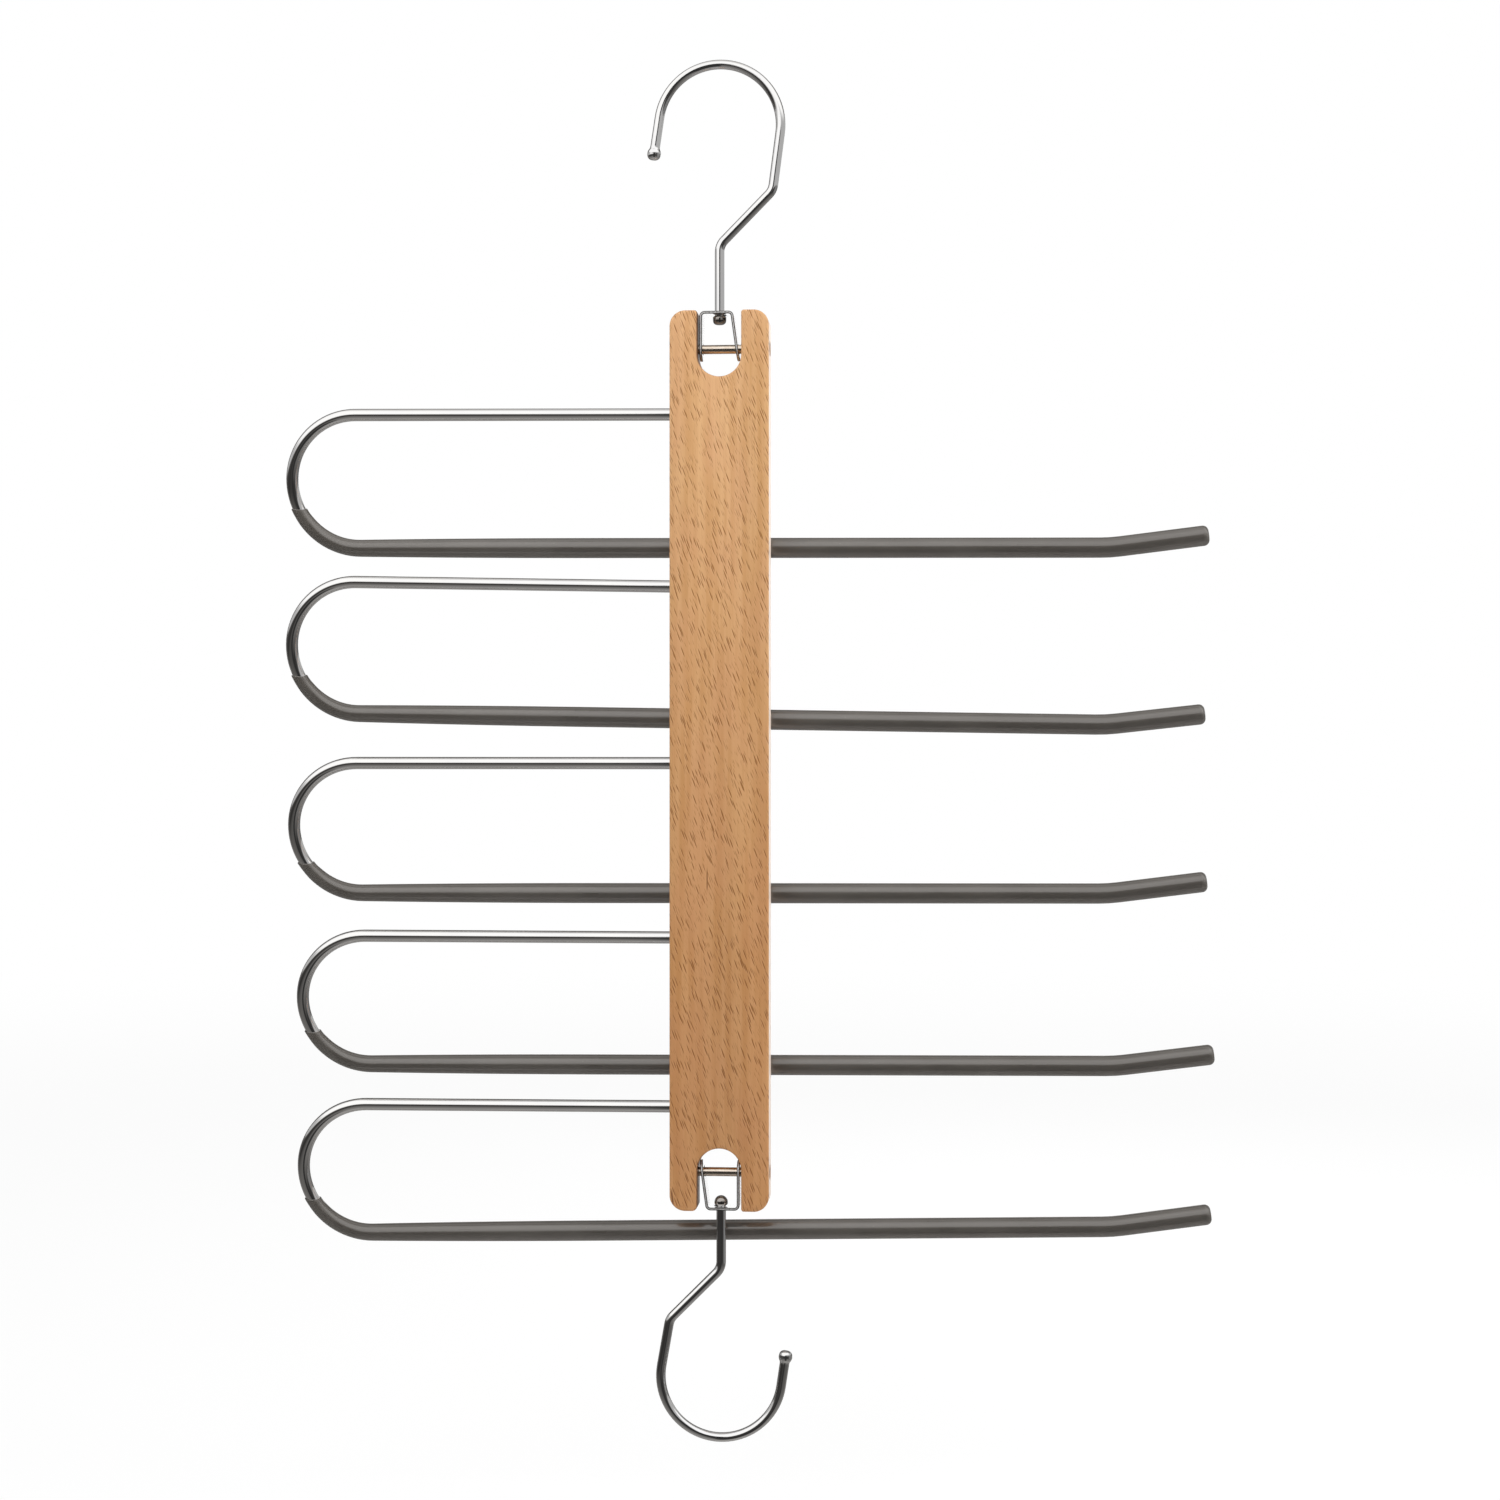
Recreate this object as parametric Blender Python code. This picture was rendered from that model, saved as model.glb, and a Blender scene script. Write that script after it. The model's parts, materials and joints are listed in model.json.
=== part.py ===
"""Multi tier trouser hanger: a slotted beech board with a hook at each end and five swinging arms.

Metres, +Z up. The origin is the inside of the top hook's loop, where the hanger sits on a rail.
The board hangs below it in the XZ plane, with its front towards -Y and the arms' bends towards -X.
"""

import math
from collections import namedtuple

import bmesh
import bpy
from mathutils import Matrix, Vector

# Board: a flat stick with a U shaped slot in each end
BOARD_WIDTH = 0.0385
BOARD_LENGTH = 0.3475
BOARD_THICKNESS = 0.0120
BOARD_CORNER_RADIUS = 0.0060
BOARD_EDGE_ROUND = 0.0008
SLOT_WIDTH = 0.0170
TOP_SLOT_DEPTH = 0.0256
BOTTOM_SLOT_DEPTH = 0.0242
SLOT_MOUTH_RADIUS = 0.0012

# Hinge pins: headed steel pins across the slots, sunk into the board's right edge
PIN_DIAMETER = 0.0035
PIN_FROM_BOARD_END = 0.0145
PIN_DEPTH_IN_FAR_PRONG = 0.0075
PIN_HEAD_DIAMETER = 0.0058
PIN_HEAD_THICKNESS = 0.0010
PIN_HEAD_SUNK = 0.0003

# Clevises: polished strip bent to a U, one leg straight and one leg splayed
STRIP_WIDTH = 0.0092
STRIP_THICKNESS = 0.0011
CLEVIS_WIDTH = 0.0131
CLEVIS_REACH = 0.0143
CLEVIS_SPLAY = 0.0019
CLEVIS_BEND_RADIUS = 0.0015
CLEVIS_SIDE_PLAY = 0.0003

# Hooks: bent wire with a ball at the tip and a domed head inside the clevis
HOOK_WIRE_DIAMETER = 0.0037
HOOK_BALL_DIAMETER = 0.0052
HOOK_HEAD_COLLAR = 0.0012
HOOK_BEND_RADIUS = 0.0065
HOOK_TAIL_DEGREES = 8.5

# A hook's stem is measured from its clevis's crossbar, and each rise from the bend before it
HookSize = namedtuple("HookSize", "stem bend_rise bend_offset loop_rise loop_inside tail")
TOP_HOOK = HookSize(
    stem=0.0261,
    bend_rise=0.0209,
    bend_offset=0.0206,
    loop_rise=0.0254,
    loop_inside=0.0437,
    tail=0.0141,
)
BOTTOM_HOOK = HookSize(
    stem=0.0231,
    bend_rise=0.0200,
    bend_offset=0.0200,
    loop_rise=0.0219,
    loop_inside=0.0433,
    tail=0.0116,
)

# Arms: chrome wire bent to a long U lying on its side, with a grey tube on its lower bar
ARM_WIRE_DIAMETER = 0.0048
ARM_FROM_BOARD_END = 0.0395
SPACE_UNDER_BAR = 0.0147
ARM_DEPTH_IN_BOARD = 0.0235
SLEEVE_DIAMETER = 0.0079
SLEEVE_MOUTH_DIAMETER = 0.0064
SLEEVE_WIDENING = 0.1200
SLEEVE_END_THICKNESS = 0.0018
SLEEVE_END_ROUND = 0.0022
TIP_LENGTH = 0.0380
TIP_BEND_RADIUS = 0.0600
TIP_RISE_DEGREES = 7.3

# Each arm's place: how far it sits below its even share of the board, its length, how far its bend
# reaches from the board's edge, its slope down to the right, its bar's lift against its upper leg,
# and where its sleeve starts, as an angle below the bend's leftmost point
ArmPlace = namedtuple("ArmPlace", "shift length reach slope_degrees lift_degrees sleeve_degrees")
ARM_1 = ArmPlace(
    shift=0.0, length=0.3610, reach=0.1529, slope_degrees=0.5, lift_degrees=0.2, sleeve_degrees=24.0
)
ARM_2 = ArmPlace(
    shift=-0.0004, length=0.3599, reach=0.1528, slope_degrees=1.1, lift_degrees=0.2, sleeve_degrees=25.5
)
ARM_3 = ArmPlace(
    shift=0.0010, length=0.3593, reach=0.1524, slope_degrees=0.0, lift_degrees=0.2, sleeve_degrees=32.0
)
ARM_4 = ArmPlace(
    shift=0.0015, length=0.3585, reach=0.1489, slope_degrees=0.0, lift_degrees=0.4, sleeve_degrees=29.0
)
ARM_5 = ArmPlace(
    shift=-0.0001, length=0.3566, reach=0.1484, slope_degrees=-0.2, lift_degrees=1.1, sleeve_degrees=28.0
)
ARMS = (ARM_1, ARM_2, ARM_3, ARM_4, ARM_5)
BAR_BELOW_BOARD_FROM_MIDDLE = 0.0043

# Retaining nails: driven in from the board's back, above a groove turned in each wire's end
NAIL_DIAMETER = 0.0016
NAIL_LENGTH = 0.0095
NAIL_HEAD_DIAMETER = 0.0030
NAIL_HEAD_THICKNESS = 0.0006
NAIL_HEAD_SUNK = 0.0001
GROOVE_DIAMETER = 0.0030
GROOVE_FROM_EDGE = 0.0175

# Clearances
GAP = 0.0003
CUT_OVERRUN = 0.0020

# Smoothness of round shapes
WIRE_SIDES = 12
PIN_SIDES = 16
BEND_STEP_DEGREES = 12.0
WIDENING_STEPS = 4
BALL_RINGS = 3
SMOOTH_DEGREES = 35.0
BEVEL_SEGMENTS = 2
BEVEL_ANGLE_DEGREES = 60.0

# Places that follow from the sizes above
BOARD_LEFT = -BOARD_WIDTH / 2
BOARD_RIGHT = BOARD_WIDTH / 2
BOARD_BACK = BOARD_THICKNESS / 2
TOP_HOOK_HEIGHT = TOP_HOOK.stem + TOP_HOOK.bend_rise + TOP_HOOK.loop_rise + TOP_HOOK.loop_inside / 2
TOP_PIN_Z = -(CLEVIS_REACH + TOP_HOOK_HEIGHT)
BOARD_TOP_FROM_PIN = PIN_FROM_BOARD_END
BOTTOM_PIN_FROM_PIN = 2 * PIN_FROM_BOARD_END - BOARD_LENGTH
ARM_PITCH = (BOARD_LENGTH - 2 * ARM_FROM_BOARD_END) / (len(ARMS) - 1)
ARM_LEG_SPACING = ARM_PITCH - SPACE_UNDER_BAR
GROOVE_WIDTH = NAIL_DIAMETER + 2 * GAP
NAIL_ABOVE_WIRE = GROOVE_DIAMETER / 2 + GAP + NAIL_DIAMETER / 2

Station = namedtuple("Station", "point direction radius")

X_AXIS = Vector((1, 0, 0))
Y_AXIS = Vector((0, 1, 0))
Z_AXIS = Vector((0, 0, 1))

CHROME = ("chrome", (0.80, 0.80, 0.81), 0.10, 1.0)
PLATED_STRIP = ("plated_strip", (0.85, 0.85, 0.86), 0.15, 1.0)
BARE_STEEL = ("bare_steel", (0.62, 0.57, 0.52), 0.30, 1.0)
BEECH = ("beech", (0.68, 0.44, 0.24), 0.45, 0.0)
GREY_PLASTIC = ("grey_plastic", (0.13, 0.12, 0.11), 0.45, 0.0)


def clear_file():
    for thing in list(bpy.data.objects):
        bpy.data.objects.remove(thing)


def make_material(name, colour, roughness, metallic):
    material = bpy.data.materials.new(name)
    material.use_nodes = True
    shader = material.node_tree.nodes["Principled BSDF"]
    shader.inputs["Base Color"].default_value = (*colour, 1.0)
    shader.inputs["Roughness"].default_value = roughness
    shader.inputs["Metallic"].default_value = metallic
    return material


def make_empty(name, placing, parent=None):
    empty = bpy.data.objects.new(name, None)
    empty.parent = parent
    empty.matrix_local = placing
    bpy.context.scene.collection.objects.link(empty)
    return empty


def make_object(name, shape, material, parent, placing=Matrix()):
    """Turns a bmesh into a named object whose round faces are smooth, and frees the bmesh."""
    bmesh.ops.recalc_face_normals(shape, faces=shape.faces)
    mesh = bpy.data.meshes.new(name)
    shape.to_mesh(mesh)
    shape.free()
    mesh.shade_smooth()
    mesh.set_sharp_from_angle(angle=math.radians(SMOOTH_DEGREES))
    if material:
        mesh.materials.append(material)
    thing = bpy.data.objects.new(name, mesh)
    thing.parent = parent
    thing.matrix_local = placing
    bpy.context.scene.collection.objects.link(thing)
    return thing


def cut(thing, name, shape, parent, placing=Matrix(), operation="DIFFERENCE"):
    """Cuts a shape out of an object, or keeps only what lies inside the shape."""
    cutter = make_object(name, shape, None, parent, placing)
    cutter.hide_render = True
    cutter.display_type = "WIRE"
    boolean = thing.modifiers.new(name, "BOOLEAN")
    boolean.operation = operation
    boolean.solver = "EXACT"
    boolean.object = cutter


def in_plane(x, z):
    return Vector((x, 0, z))


def arc(centre, radius, first, last):
    """Points and directions along an arc in the XZ plane, between two angles from +X towards +Z."""
    count = math.ceil(abs(last - first) / math.radians(BEND_STEP_DEGREES))
    turn = math.copysign(1, last - first)
    route = []
    for n in range(count + 1):
        angle = first + (last - first) * n / count
        outward = in_plane(math.cos(angle), math.sin(angle))
        along = turn * in_plane(-math.sin(angle), math.cos(angle))
        route.append((centre + radius * outward, along))
    return route


def corner(before, at, after, radius):
    """Points and directions round a corner of the XZ plane that is bent to a radius."""
    into = (at - before).normalized()
    out = (after - at).normalized()
    turn = math.atan2(into.x * out.z - into.z * out.x, into.dot(out))
    inward = math.copysign(1, turn) * in_plane(-into.z, into.x)
    centre = at - into * radius * math.tan(abs(turn) / 2) + inward * radius
    first = math.atan2(-inward.z, -inward.x)
    return arc(centre, radius, first, first + turn)


def points_of(route):
    return [point for point, along in route]


def wire_along(route, radius):
    return [Station(point, along, radius) for point, along in route]


def spaced(route, step):
    """The route with points added on its straight stretches, at most a step apart."""
    points = route[:1]
    for (start, _), (end, along) in zip(route, route[1:]):
        count = math.ceil((end - start).length / step)
        points += [(start.lerp(end, n / count), along) for n in range(1, count + 1)]
    return points


def widening(route, first, last, length):
    """Stations whose radius grows over the first stretch of a route, fastest at its start."""
    stations = []
    run = 0
    before = route[0][0]
    for point, along in route:
        run += (point - before).length
        before = point
        left = max(0, 1 - run / length)
        stations.append(Station(point, along, last - (last - first) * left**2))
    return stations


def ball(centre, along, radius, first_angle):
    """Stations over a ball from an angle short of its waist to its far pole."""
    count = 2 * BALL_RINGS
    stations = []
    for n in range(count):
        angle = first_angle + (math.pi / 2 - first_angle) * n / count
        stations.append(Station(centre + along * radius * math.sin(angle), along, radius * math.cos(angle)))
    stations.append(Station(centre + along * radius, along, 0))
    return stations


def skin(stations, sides):
    """A closed body through rings round the stations, whose first and last radius are zero."""
    shape = bmesh.new()
    rings = []
    for point, along, radius in stations:
        if radius == 0:
            rings.append([shape.verts.new(point)] * sides)
            continue
        across = along.cross(Y_AXIS)
        ring = []
        for n in range(sides):
            angle = 2 * math.pi * n / sides
            spoke = math.cos(angle) * Y_AXIS + math.sin(angle) * across
            ring.append(shape.verts.new(point + radius * spoke))
        rings.append(ring)
    for ring, following in zip(rings, rings[1:]):
        for n in range(sides):
            m = (n + 1) % sides
            shape.faces.new(dict.fromkeys((ring[n], ring[m], following[m], following[n])))
    return shape


def turned(profile, sides):
    """A solid turned about the X axis, from its places along X and its radius at each."""
    first, last = profile[0][0], profile[-1][0]
    stations = [Station(in_plane(first, 0), X_AXIS, 0)]
    stations += [Station(in_plane(x, 0), X_AXIS, radius) for x, radius in profile]
    stations.append(Station(in_plane(last, 0), X_AXIS, 0))
    return skin(stations, sides)


def headed(length, shank, head, thickness):
    """A headed pin along +X, with the outside of its head at zero."""
    return turned(((0, head), (thickness, head), (thickness, shank), (length, shank)), PIN_SIDES)


def headed_bore(length, shank, head, thickness):
    """The stepped bore that a headed pin fits with the clearance all round."""
    step = thickness + GAP
    wide = head + GAP
    narrow = shank + GAP
    return turned(((-CUT_OVERRUN, wide), (step, wide), (step, narrow), (length + GAP, narrow)), PIN_SIDES)


def plate(outline, near, far):
    """A closed outline of the XZ plane, extruded along Y between two places."""
    shape = bmesh.new()
    face = shape.faces.new([shape.verts.new(point + near * Y_AXIS) for point in outline])
    extruded = bmesh.ops.extrude_face_region(shape, geom=[face])
    moved = [part for part in extruded["geom"] if isinstance(part, bmesh.types.BMVert)]
    bmesh.ops.translate(shape, verts=moved, vec=(far - near) * Y_AXIS)
    return shape


def board_end(slot_depth):
    """Half of the board's outline: the end at +Z, with its slot."""
    end = BOARD_LENGTH / 2
    side = BOARD_WIDTH / 2
    mouth = SLOT_WIDTH / 2
    half = corner(in_plane(side, 0), in_plane(side, end), in_plane(mouth, end), BOARD_CORNER_RADIUS)
    half += corner(in_plane(side, end), in_plane(mouth, end), in_plane(mouth, 0), SLOT_MOUTH_RADIUS)
    half += arc(in_plane(0, end - slot_depth + mouth), mouth, 0, -math.pi)
    half += corner(in_plane(-mouth, 0), in_plane(-mouth, end), in_plane(-side, end), SLOT_MOUTH_RADIUS)
    half += corner(in_plane(-mouth, end), in_plane(-side, end), in_plane(-side, 0), BOARD_CORNER_RADIUS)
    return points_of(half)


def board_outline():
    """The outline about the board's middle: its top end, then its bottom end turned half way round."""
    return board_end(TOP_SLOT_DEPTH) + [-point for point in board_end(BOTTOM_SLOT_DEPTH)]


def make_board(board_axis, material):
    """The board with rounded edges. Its middle lies below the top pin's axis."""
    middle = Matrix.Translation(in_plane(0, BOARD_TOP_FROM_PIN - BOARD_LENGTH / 2))
    shape = plate(board_outline(), -BOARD_THICKNESS / 2, BOARD_THICKNESS / 2)
    board = make_object("beech_board", shape, material, board_axis, middle)
    bevel = board.modifiers.new("edge_round", "BEVEL")
    bevel.width = BOARD_EDGE_ROUND
    bevel.segments = BEVEL_SEGMENTS
    bevel.limit_method = "ANGLE"
    bevel.angle_limit = math.radians(BEVEL_ANGLE_DEGREES)
    return board


def make_hinge_pin(name, pin_z, board, board_axis, material):
    """A pin from the board's right edge through the slot into the far prong, and its bore."""
    start = BOARD_RIGHT - PIN_HEAD_SUNK
    length = start + SLOT_WIDTH / 2 + PIN_DEPTH_IN_FAR_PRONG
    sizes = (length, PIN_DIAMETER / 2, PIN_HEAD_DIAMETER / 2, PIN_HEAD_THICKNESS)
    placing = Matrix.Translation(in_plane(start, pin_z)) @ Matrix.Rotation(math.pi, 4, "Z")
    make_object(name, headed(*sizes), material, board_axis, placing)
    cut(board, f"{name}_bore", headed_bore(*sizes), board_axis, placing)


def make_clevis(name, frame, material):
    """A bent strip about the pin's axis, its crossbar at +Z, its straight leg at -X."""
    middle = STRIP_THICKNESS / 2
    straight_x = -(CLEVIS_WIDTH + CLEVIS_SPLAY) / 2 + middle
    splayed_x = straight_x + CLEVIS_WIDTH - 2 * middle
    crossbar_z = CLEVIS_REACH - middle
    leg_end = STRIP_WIDTH / 2 + CUT_OVERRUN
    straight_end = in_plane(straight_x, -leg_end)
    straight_corner = in_plane(straight_x, crossbar_z)
    splayed_corner = in_plane(splayed_x, crossbar_z)
    slope = in_plane(CLEVIS_SPLAY, -crossbar_z) / crossbar_z
    splayed_end = splayed_corner + slope * (crossbar_z + leg_end)
    route = [(straight_end, Z_AXIS)]
    route += corner(straight_end, straight_corner, splayed_corner, CLEVIS_BEND_RADIUS)
    route += corner(straight_corner, splayed_corner, splayed_end, CLEVIS_BEND_RADIUS)
    route.append((splayed_end, slope.normalized()))
    outside = [point - along.cross(Y_AXIS) * middle for point, along in route]
    inside = [point + along.cross(Y_AXIS) * middle for point, along in route]
    half_width = STRIP_WIDTH / 2
    strip = plate(outside + inside[::-1], -half_width - CUT_OVERRUN, half_width + CUT_OVERRUN)
    clevis = make_object(name, strip, material, frame)

    face_top = CLEVIS_REACH + CUT_OVERRUN
    face = [in_plane(half_width, face_top), in_plane(-half_width, face_top)]
    face += points_of(arc(in_plane(0, 0), half_width, math.pi, 2 * math.pi))
    reach = CLEVIS_WIDTH + CUT_OVERRUN
    edge_on = Matrix.Rotation(math.pi / 2, 4, "Z")
    cut(clevis, f"{name}_face", plate(face, -reach, reach), frame, edge_on, "INTERSECT")

    hole = PIN_DIAMETER / 2 + GAP
    cut(clevis, f"{name}_pin_hole", turned(((-reach, hole), (reach, hole)), PIN_SIDES), frame)
    stem = HOOK_WIRE_DIAMETER / 2 + GAP
    through = ((CLEVIS_REACH - STRIP_THICKNESS - CUT_OVERRUN, stem), (face_top, stem))
    upright = Matrix.Rotation(-math.pi / 2, 4, "Y")
    cut(clevis, f"{name}_stem_hole", turned(through, PIN_SIDES), frame, upright)


def make_hook(name, frame, size, material):
    """A wire hook whose stem runs up +Z through the clevis, whose pin is the frame's X axis."""
    wire = HOOK_WIRE_DIAMETER / 2
    ball_radius = HOOK_BALL_DIAMETER / 2
    seat = CLEVIS_REACH - STRIP_THICKNESS - GAP
    stations = ball(in_plane(0, seat - HOOK_HEAD_COLLAR), -Z_AXIS, ball_radius, 0)
    stations = [Station(point, -along, radius) for point, along, radius in reversed(stations)]
    stations += [Station(in_plane(0, seat), Z_AXIS, ball_radius), Station(in_plane(0, seat), Z_AXIS, wire)]

    first = in_plane(0, CLEVIS_REACH + size.stem)
    second = first + in_plane(size.bend_offset, size.bend_rise)
    loop = first + in_plane(0, size.bend_rise + size.loop_rise)
    loop_radius = size.loop_inside / 2 + wire
    to_loop = loop - second
    heading = math.atan2(to_loop.z, to_loop.x) - math.asin(loop_radius / to_loop.length)
    meets_loop = second + in_plane(math.cos(heading), math.sin(heading)) * to_loop.length
    route = corner(in_plane(0, seat), first, second, HOOK_BEND_RADIUS)
    route += corner(first, second, meets_loop, HOOK_BEND_RADIUS)
    route += arc(loop, loop_radius, heading - math.pi / 2, math.pi - math.radians(HOOK_TAIL_DEGREES))
    stations += wire_along(route, wire)

    loop_end, tail = route[-1]
    stations += ball(loop_end + tail * size.tail, tail, ball_radius, -math.acos(wire / ball_radius))
    make_object(name, skin(stations, WIRE_SIDES), material, frame)


def arm_drop(number, place):
    """How far an arm's upper leg lies below the board's top."""
    return ARM_FROM_BOARD_END + (number - 1) * ARM_PITCH + place.shift


def rest_angle(number, place):
    """The swing at which an arm's bar leans on the board's back.

    A bar below the board rests between the plane of its back and the bottom hook's stem.
    """
    bar_top = arm_drop(number, place) + ARM_LEG_SPACING - SLEEVE_DIAMETER / 2
    beside_board = bar_top < BOARD_LENGTH + GAP
    behind_middle = BOARD_BACK + GAP if beside_board else BAR_BELOW_BOARD_FROM_MIDDLE
    straight = place.reach - ARM_LEG_SPACING / 2 - ARM_WIRE_DIAMETER / 2
    rise = (straight + BOARD_WIDTH) * math.tan(math.radians(place.lift_degrees))
    return math.asin((behind_middle + SLEEVE_DIAMETER / 2) / (ARM_LEG_SPACING - rise))


def arm_routes(place):
    """The arm's centreline from its swing axis at the board's edge, in two parts.

    The parts meet where the sleeve starts. The second ends at the sleeve's closed end.
    """
    radius = ARM_LEG_SPACING / 2
    bend = in_plane(ARM_WIRE_DIAMETER / 2 + radius - place.reach, -radius)
    sleeve_start = math.pi + math.radians(place.sleeve_degrees)
    bar_start = 3 * math.pi / 2 + math.radians(place.lift_degrees)
    bare = arc(bend, radius, math.pi / 2, sleeve_start)
    sleeved = arc(bend, radius, sleeve_start, bar_start)

    start, along = sleeved[-1]
    rise = math.radians(place.lift_degrees + TIP_RISE_DEGREES)
    tip_along = in_plane(math.cos(rise), math.sin(rise))
    tip_start_x = place.length - place.reach - TIP_LENGTH
    tip_start = start + along * (tip_start_x - start.x)
    tip = tip_start + tip_along * TIP_LENGTH
    sleeved += corner(start, tip_start, tip, TIP_BEND_RADIUS)
    sleeved.append((tip, tip_along))
    return bare, sleeved


def make_arm_wire(name, place, frame, material):
    """The chrome wire, from its grooved end in the board to its end inside the sleeve."""
    wire = ARM_WIRE_DIAMETER / 2
    groove = GROOVE_DIAMETER / 2
    groove_far = GROOVE_FROM_EDGE + GROOVE_WIDTH / 2
    groove_near = GROOVE_FROM_EDGE - GROOVE_WIDTH / 2
    profile = ((ARM_DEPTH_IN_BOARD, 0), (ARM_DEPTH_IN_BOARD, wire))
    profile += ((groove_far, wire), (groove_far, groove), (groove_near, groove), (groove_near, wire))
    stations = [Station(in_plane(x, 0), -X_AXIS, radius) for x, radius in profile]
    bare, sleeved = arm_routes(place)
    tip, along = sleeved[-1]
    end = tip - along * (SLEEVE_END_THICKNESS + GAP)
    stations += wire_along(bare + sleeved[1:-1] + [(end, along)], wire)
    stations.append(Station(end, along, 0))
    make_object(name, skin(stations, WIRE_SIDES), material, frame)


def make_sleeve(name, place, frame, material):
    """The grey tube over the arm's bar: thin and open on the bend, closed and rounded at the tip."""
    outer = SLEEVE_DIAMETER / 2
    bore = ARM_WIRE_DIAMETER / 2 + GAP
    bare, sleeved = arm_routes(place)
    tip, along = sleeved[-1]
    bore_end = tip - along * SLEEVE_END_THICKNESS
    inside = wire_along(sleeved[:-1] + [(bore_end, along)], bore)
    stations = [Station(bore_end, along, 0)] + inside[::-1]
    outside = spaced(sleeved[:-1], SLEEVE_WIDENING / WIDENING_STEPS)
    stations += widening(outside, SLEEVE_MOUTH_DIAMETER / 2, outer, SLEEVE_WIDENING)
    rim = outer - SLEEVE_END_ROUND
    for n in range(BALL_RINGS + 1):
        angle = math.pi / 2 * n / BALL_RINGS
        back = SLEEVE_END_ROUND * (1 - math.sin(angle))
        stations.append(Station(tip - along * back, along, rim + SLEEVE_END_ROUND * math.cos(angle)))
    stations.append(Station(tip, along, 0))
    make_object(name, skin(stations, WIRE_SIDES), material, frame)


def make_nail(name, board, socket, material):
    """A nail from the board's back past the wire's groove, and its bore."""
    sizes = (NAIL_LENGTH, NAIL_DIAMETER / 2, NAIL_HEAD_DIAMETER / 2, NAIL_HEAD_THICKNESS)
    start = Vector((GROOVE_FROM_EDGE, BOARD_BACK - NAIL_HEAD_SUNK, NAIL_ABOVE_WIRE))
    placing = Matrix.Translation(start) @ Matrix.Rotation(-math.pi / 2, 4, "Z")
    make_object(name, headed(*sizes), material, socket, placing)
    cut(board, f"{name}_bore", headed_bore(*sizes), socket, placing)


def make_arm(number, place, board, board_axis, chrome, plastic, steel):
    """One arm with its sleeve and its nail, in a socket in the board's left edge."""
    name = f"arm_{number}"
    edge = Matrix.Translation(in_plane(BOARD_LEFT, BOARD_TOP_FROM_PIN - arm_drop(number, place)))
    slope = Matrix.Rotation(math.radians(place.slope_degrees), 4, "Y")
    socket = make_empty(f"{name}_socket", edge @ slope, board_axis)
    bore = ARM_WIRE_DIAMETER / 2 + GAP
    depth = ARM_DEPTH_IN_BOARD + GAP
    cut(board, f"{name}_bore", turned(((-CUT_OVERRUN, bore), (depth, bore)), WIRE_SIDES), socket)
    swing_axis = make_empty(f"{name}_swing_axis", Matrix.Rotation(rest_angle(number, place), 4, "X"), socket)
    make_arm_wire(f"{name}_wire", place, swing_axis, chrome)
    make_sleeve(f"{name}_sleeve", place, swing_axis, plastic)
    make_nail(f"{name}_nail", board, socket, steel)


def main():
    clear_file()
    chrome = make_material(*CHROME)
    plated = make_material(*PLATED_STRIP)
    steel = make_material(*BARE_STEEL)
    beech = make_material(*BEECH)
    plastic = make_material(*GREY_PLASTIC)

    board_axis = make_empty("top_pin_axis", Matrix.Translation(in_plane(0, TOP_PIN_Z)))
    board = make_board(board_axis, beech)
    make_hinge_pin("top_hinge_pin", 0, board, board_axis, steel)
    make_hinge_pin("bottom_hinge_pin", BOTTOM_PIN_FROM_PIN, board, board_axis, steel)

    top_stem = make_empty("top_stem_axis", Matrix.Translation(in_plane(-CLEVIS_SIDE_PLAY, 0)), board_axis)
    make_clevis("top_bracket", top_stem, plated)
    make_hook("top_hook", top_stem, TOP_HOOK, chrome)

    below = Matrix.Translation(in_plane(CLEVIS_SIDE_PLAY, BOTTOM_PIN_FROM_PIN))
    upside_down = Matrix.Rotation(math.pi, 4, "Y")
    bottom_stem = make_empty("bottom_stem_axis", below @ upside_down, board_axis)
    make_clevis("bottom_bracket", bottom_stem, plated)
    make_hook("bottom_hook", bottom_stem, BOTTOM_HOOK, chrome)

    for number, place in enumerate(ARMS, start=1):
        make_arm(number, place, board, board_axis, chrome, plastic, steel)


main()
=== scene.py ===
"""Looks for the multi tier trouser hanger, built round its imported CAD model.

Metres, in the CAD frame: +Z up along the board, -Y out of its front face, -X towards the arms' bends.
"""

import json
import math
from collections import namedtuple

import bmesh
import bpy
from mathutils import Matrix, Vector


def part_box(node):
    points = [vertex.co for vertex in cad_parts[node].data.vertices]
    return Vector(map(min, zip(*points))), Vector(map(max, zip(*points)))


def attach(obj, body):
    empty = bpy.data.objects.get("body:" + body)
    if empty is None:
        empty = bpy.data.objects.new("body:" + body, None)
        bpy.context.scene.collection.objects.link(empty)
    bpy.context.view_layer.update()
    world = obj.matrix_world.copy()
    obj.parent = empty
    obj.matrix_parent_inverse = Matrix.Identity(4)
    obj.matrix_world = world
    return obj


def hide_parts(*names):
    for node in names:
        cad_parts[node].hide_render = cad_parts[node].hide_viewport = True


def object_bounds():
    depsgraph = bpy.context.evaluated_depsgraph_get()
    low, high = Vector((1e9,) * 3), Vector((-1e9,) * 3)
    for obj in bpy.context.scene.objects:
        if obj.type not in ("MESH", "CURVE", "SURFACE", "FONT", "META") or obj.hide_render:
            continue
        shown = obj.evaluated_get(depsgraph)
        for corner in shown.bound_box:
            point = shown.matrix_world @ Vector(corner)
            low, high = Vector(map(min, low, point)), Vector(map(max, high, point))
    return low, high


# Board: the CAD box gives its length, width and thickness
BOARD_CORNER_RADIUS = 0.0060
BOARD_EDGE_ROUND = 0.0008
BOARD_EDGE_STEPS = 3
BORE_GAP = 0.0001

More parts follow.
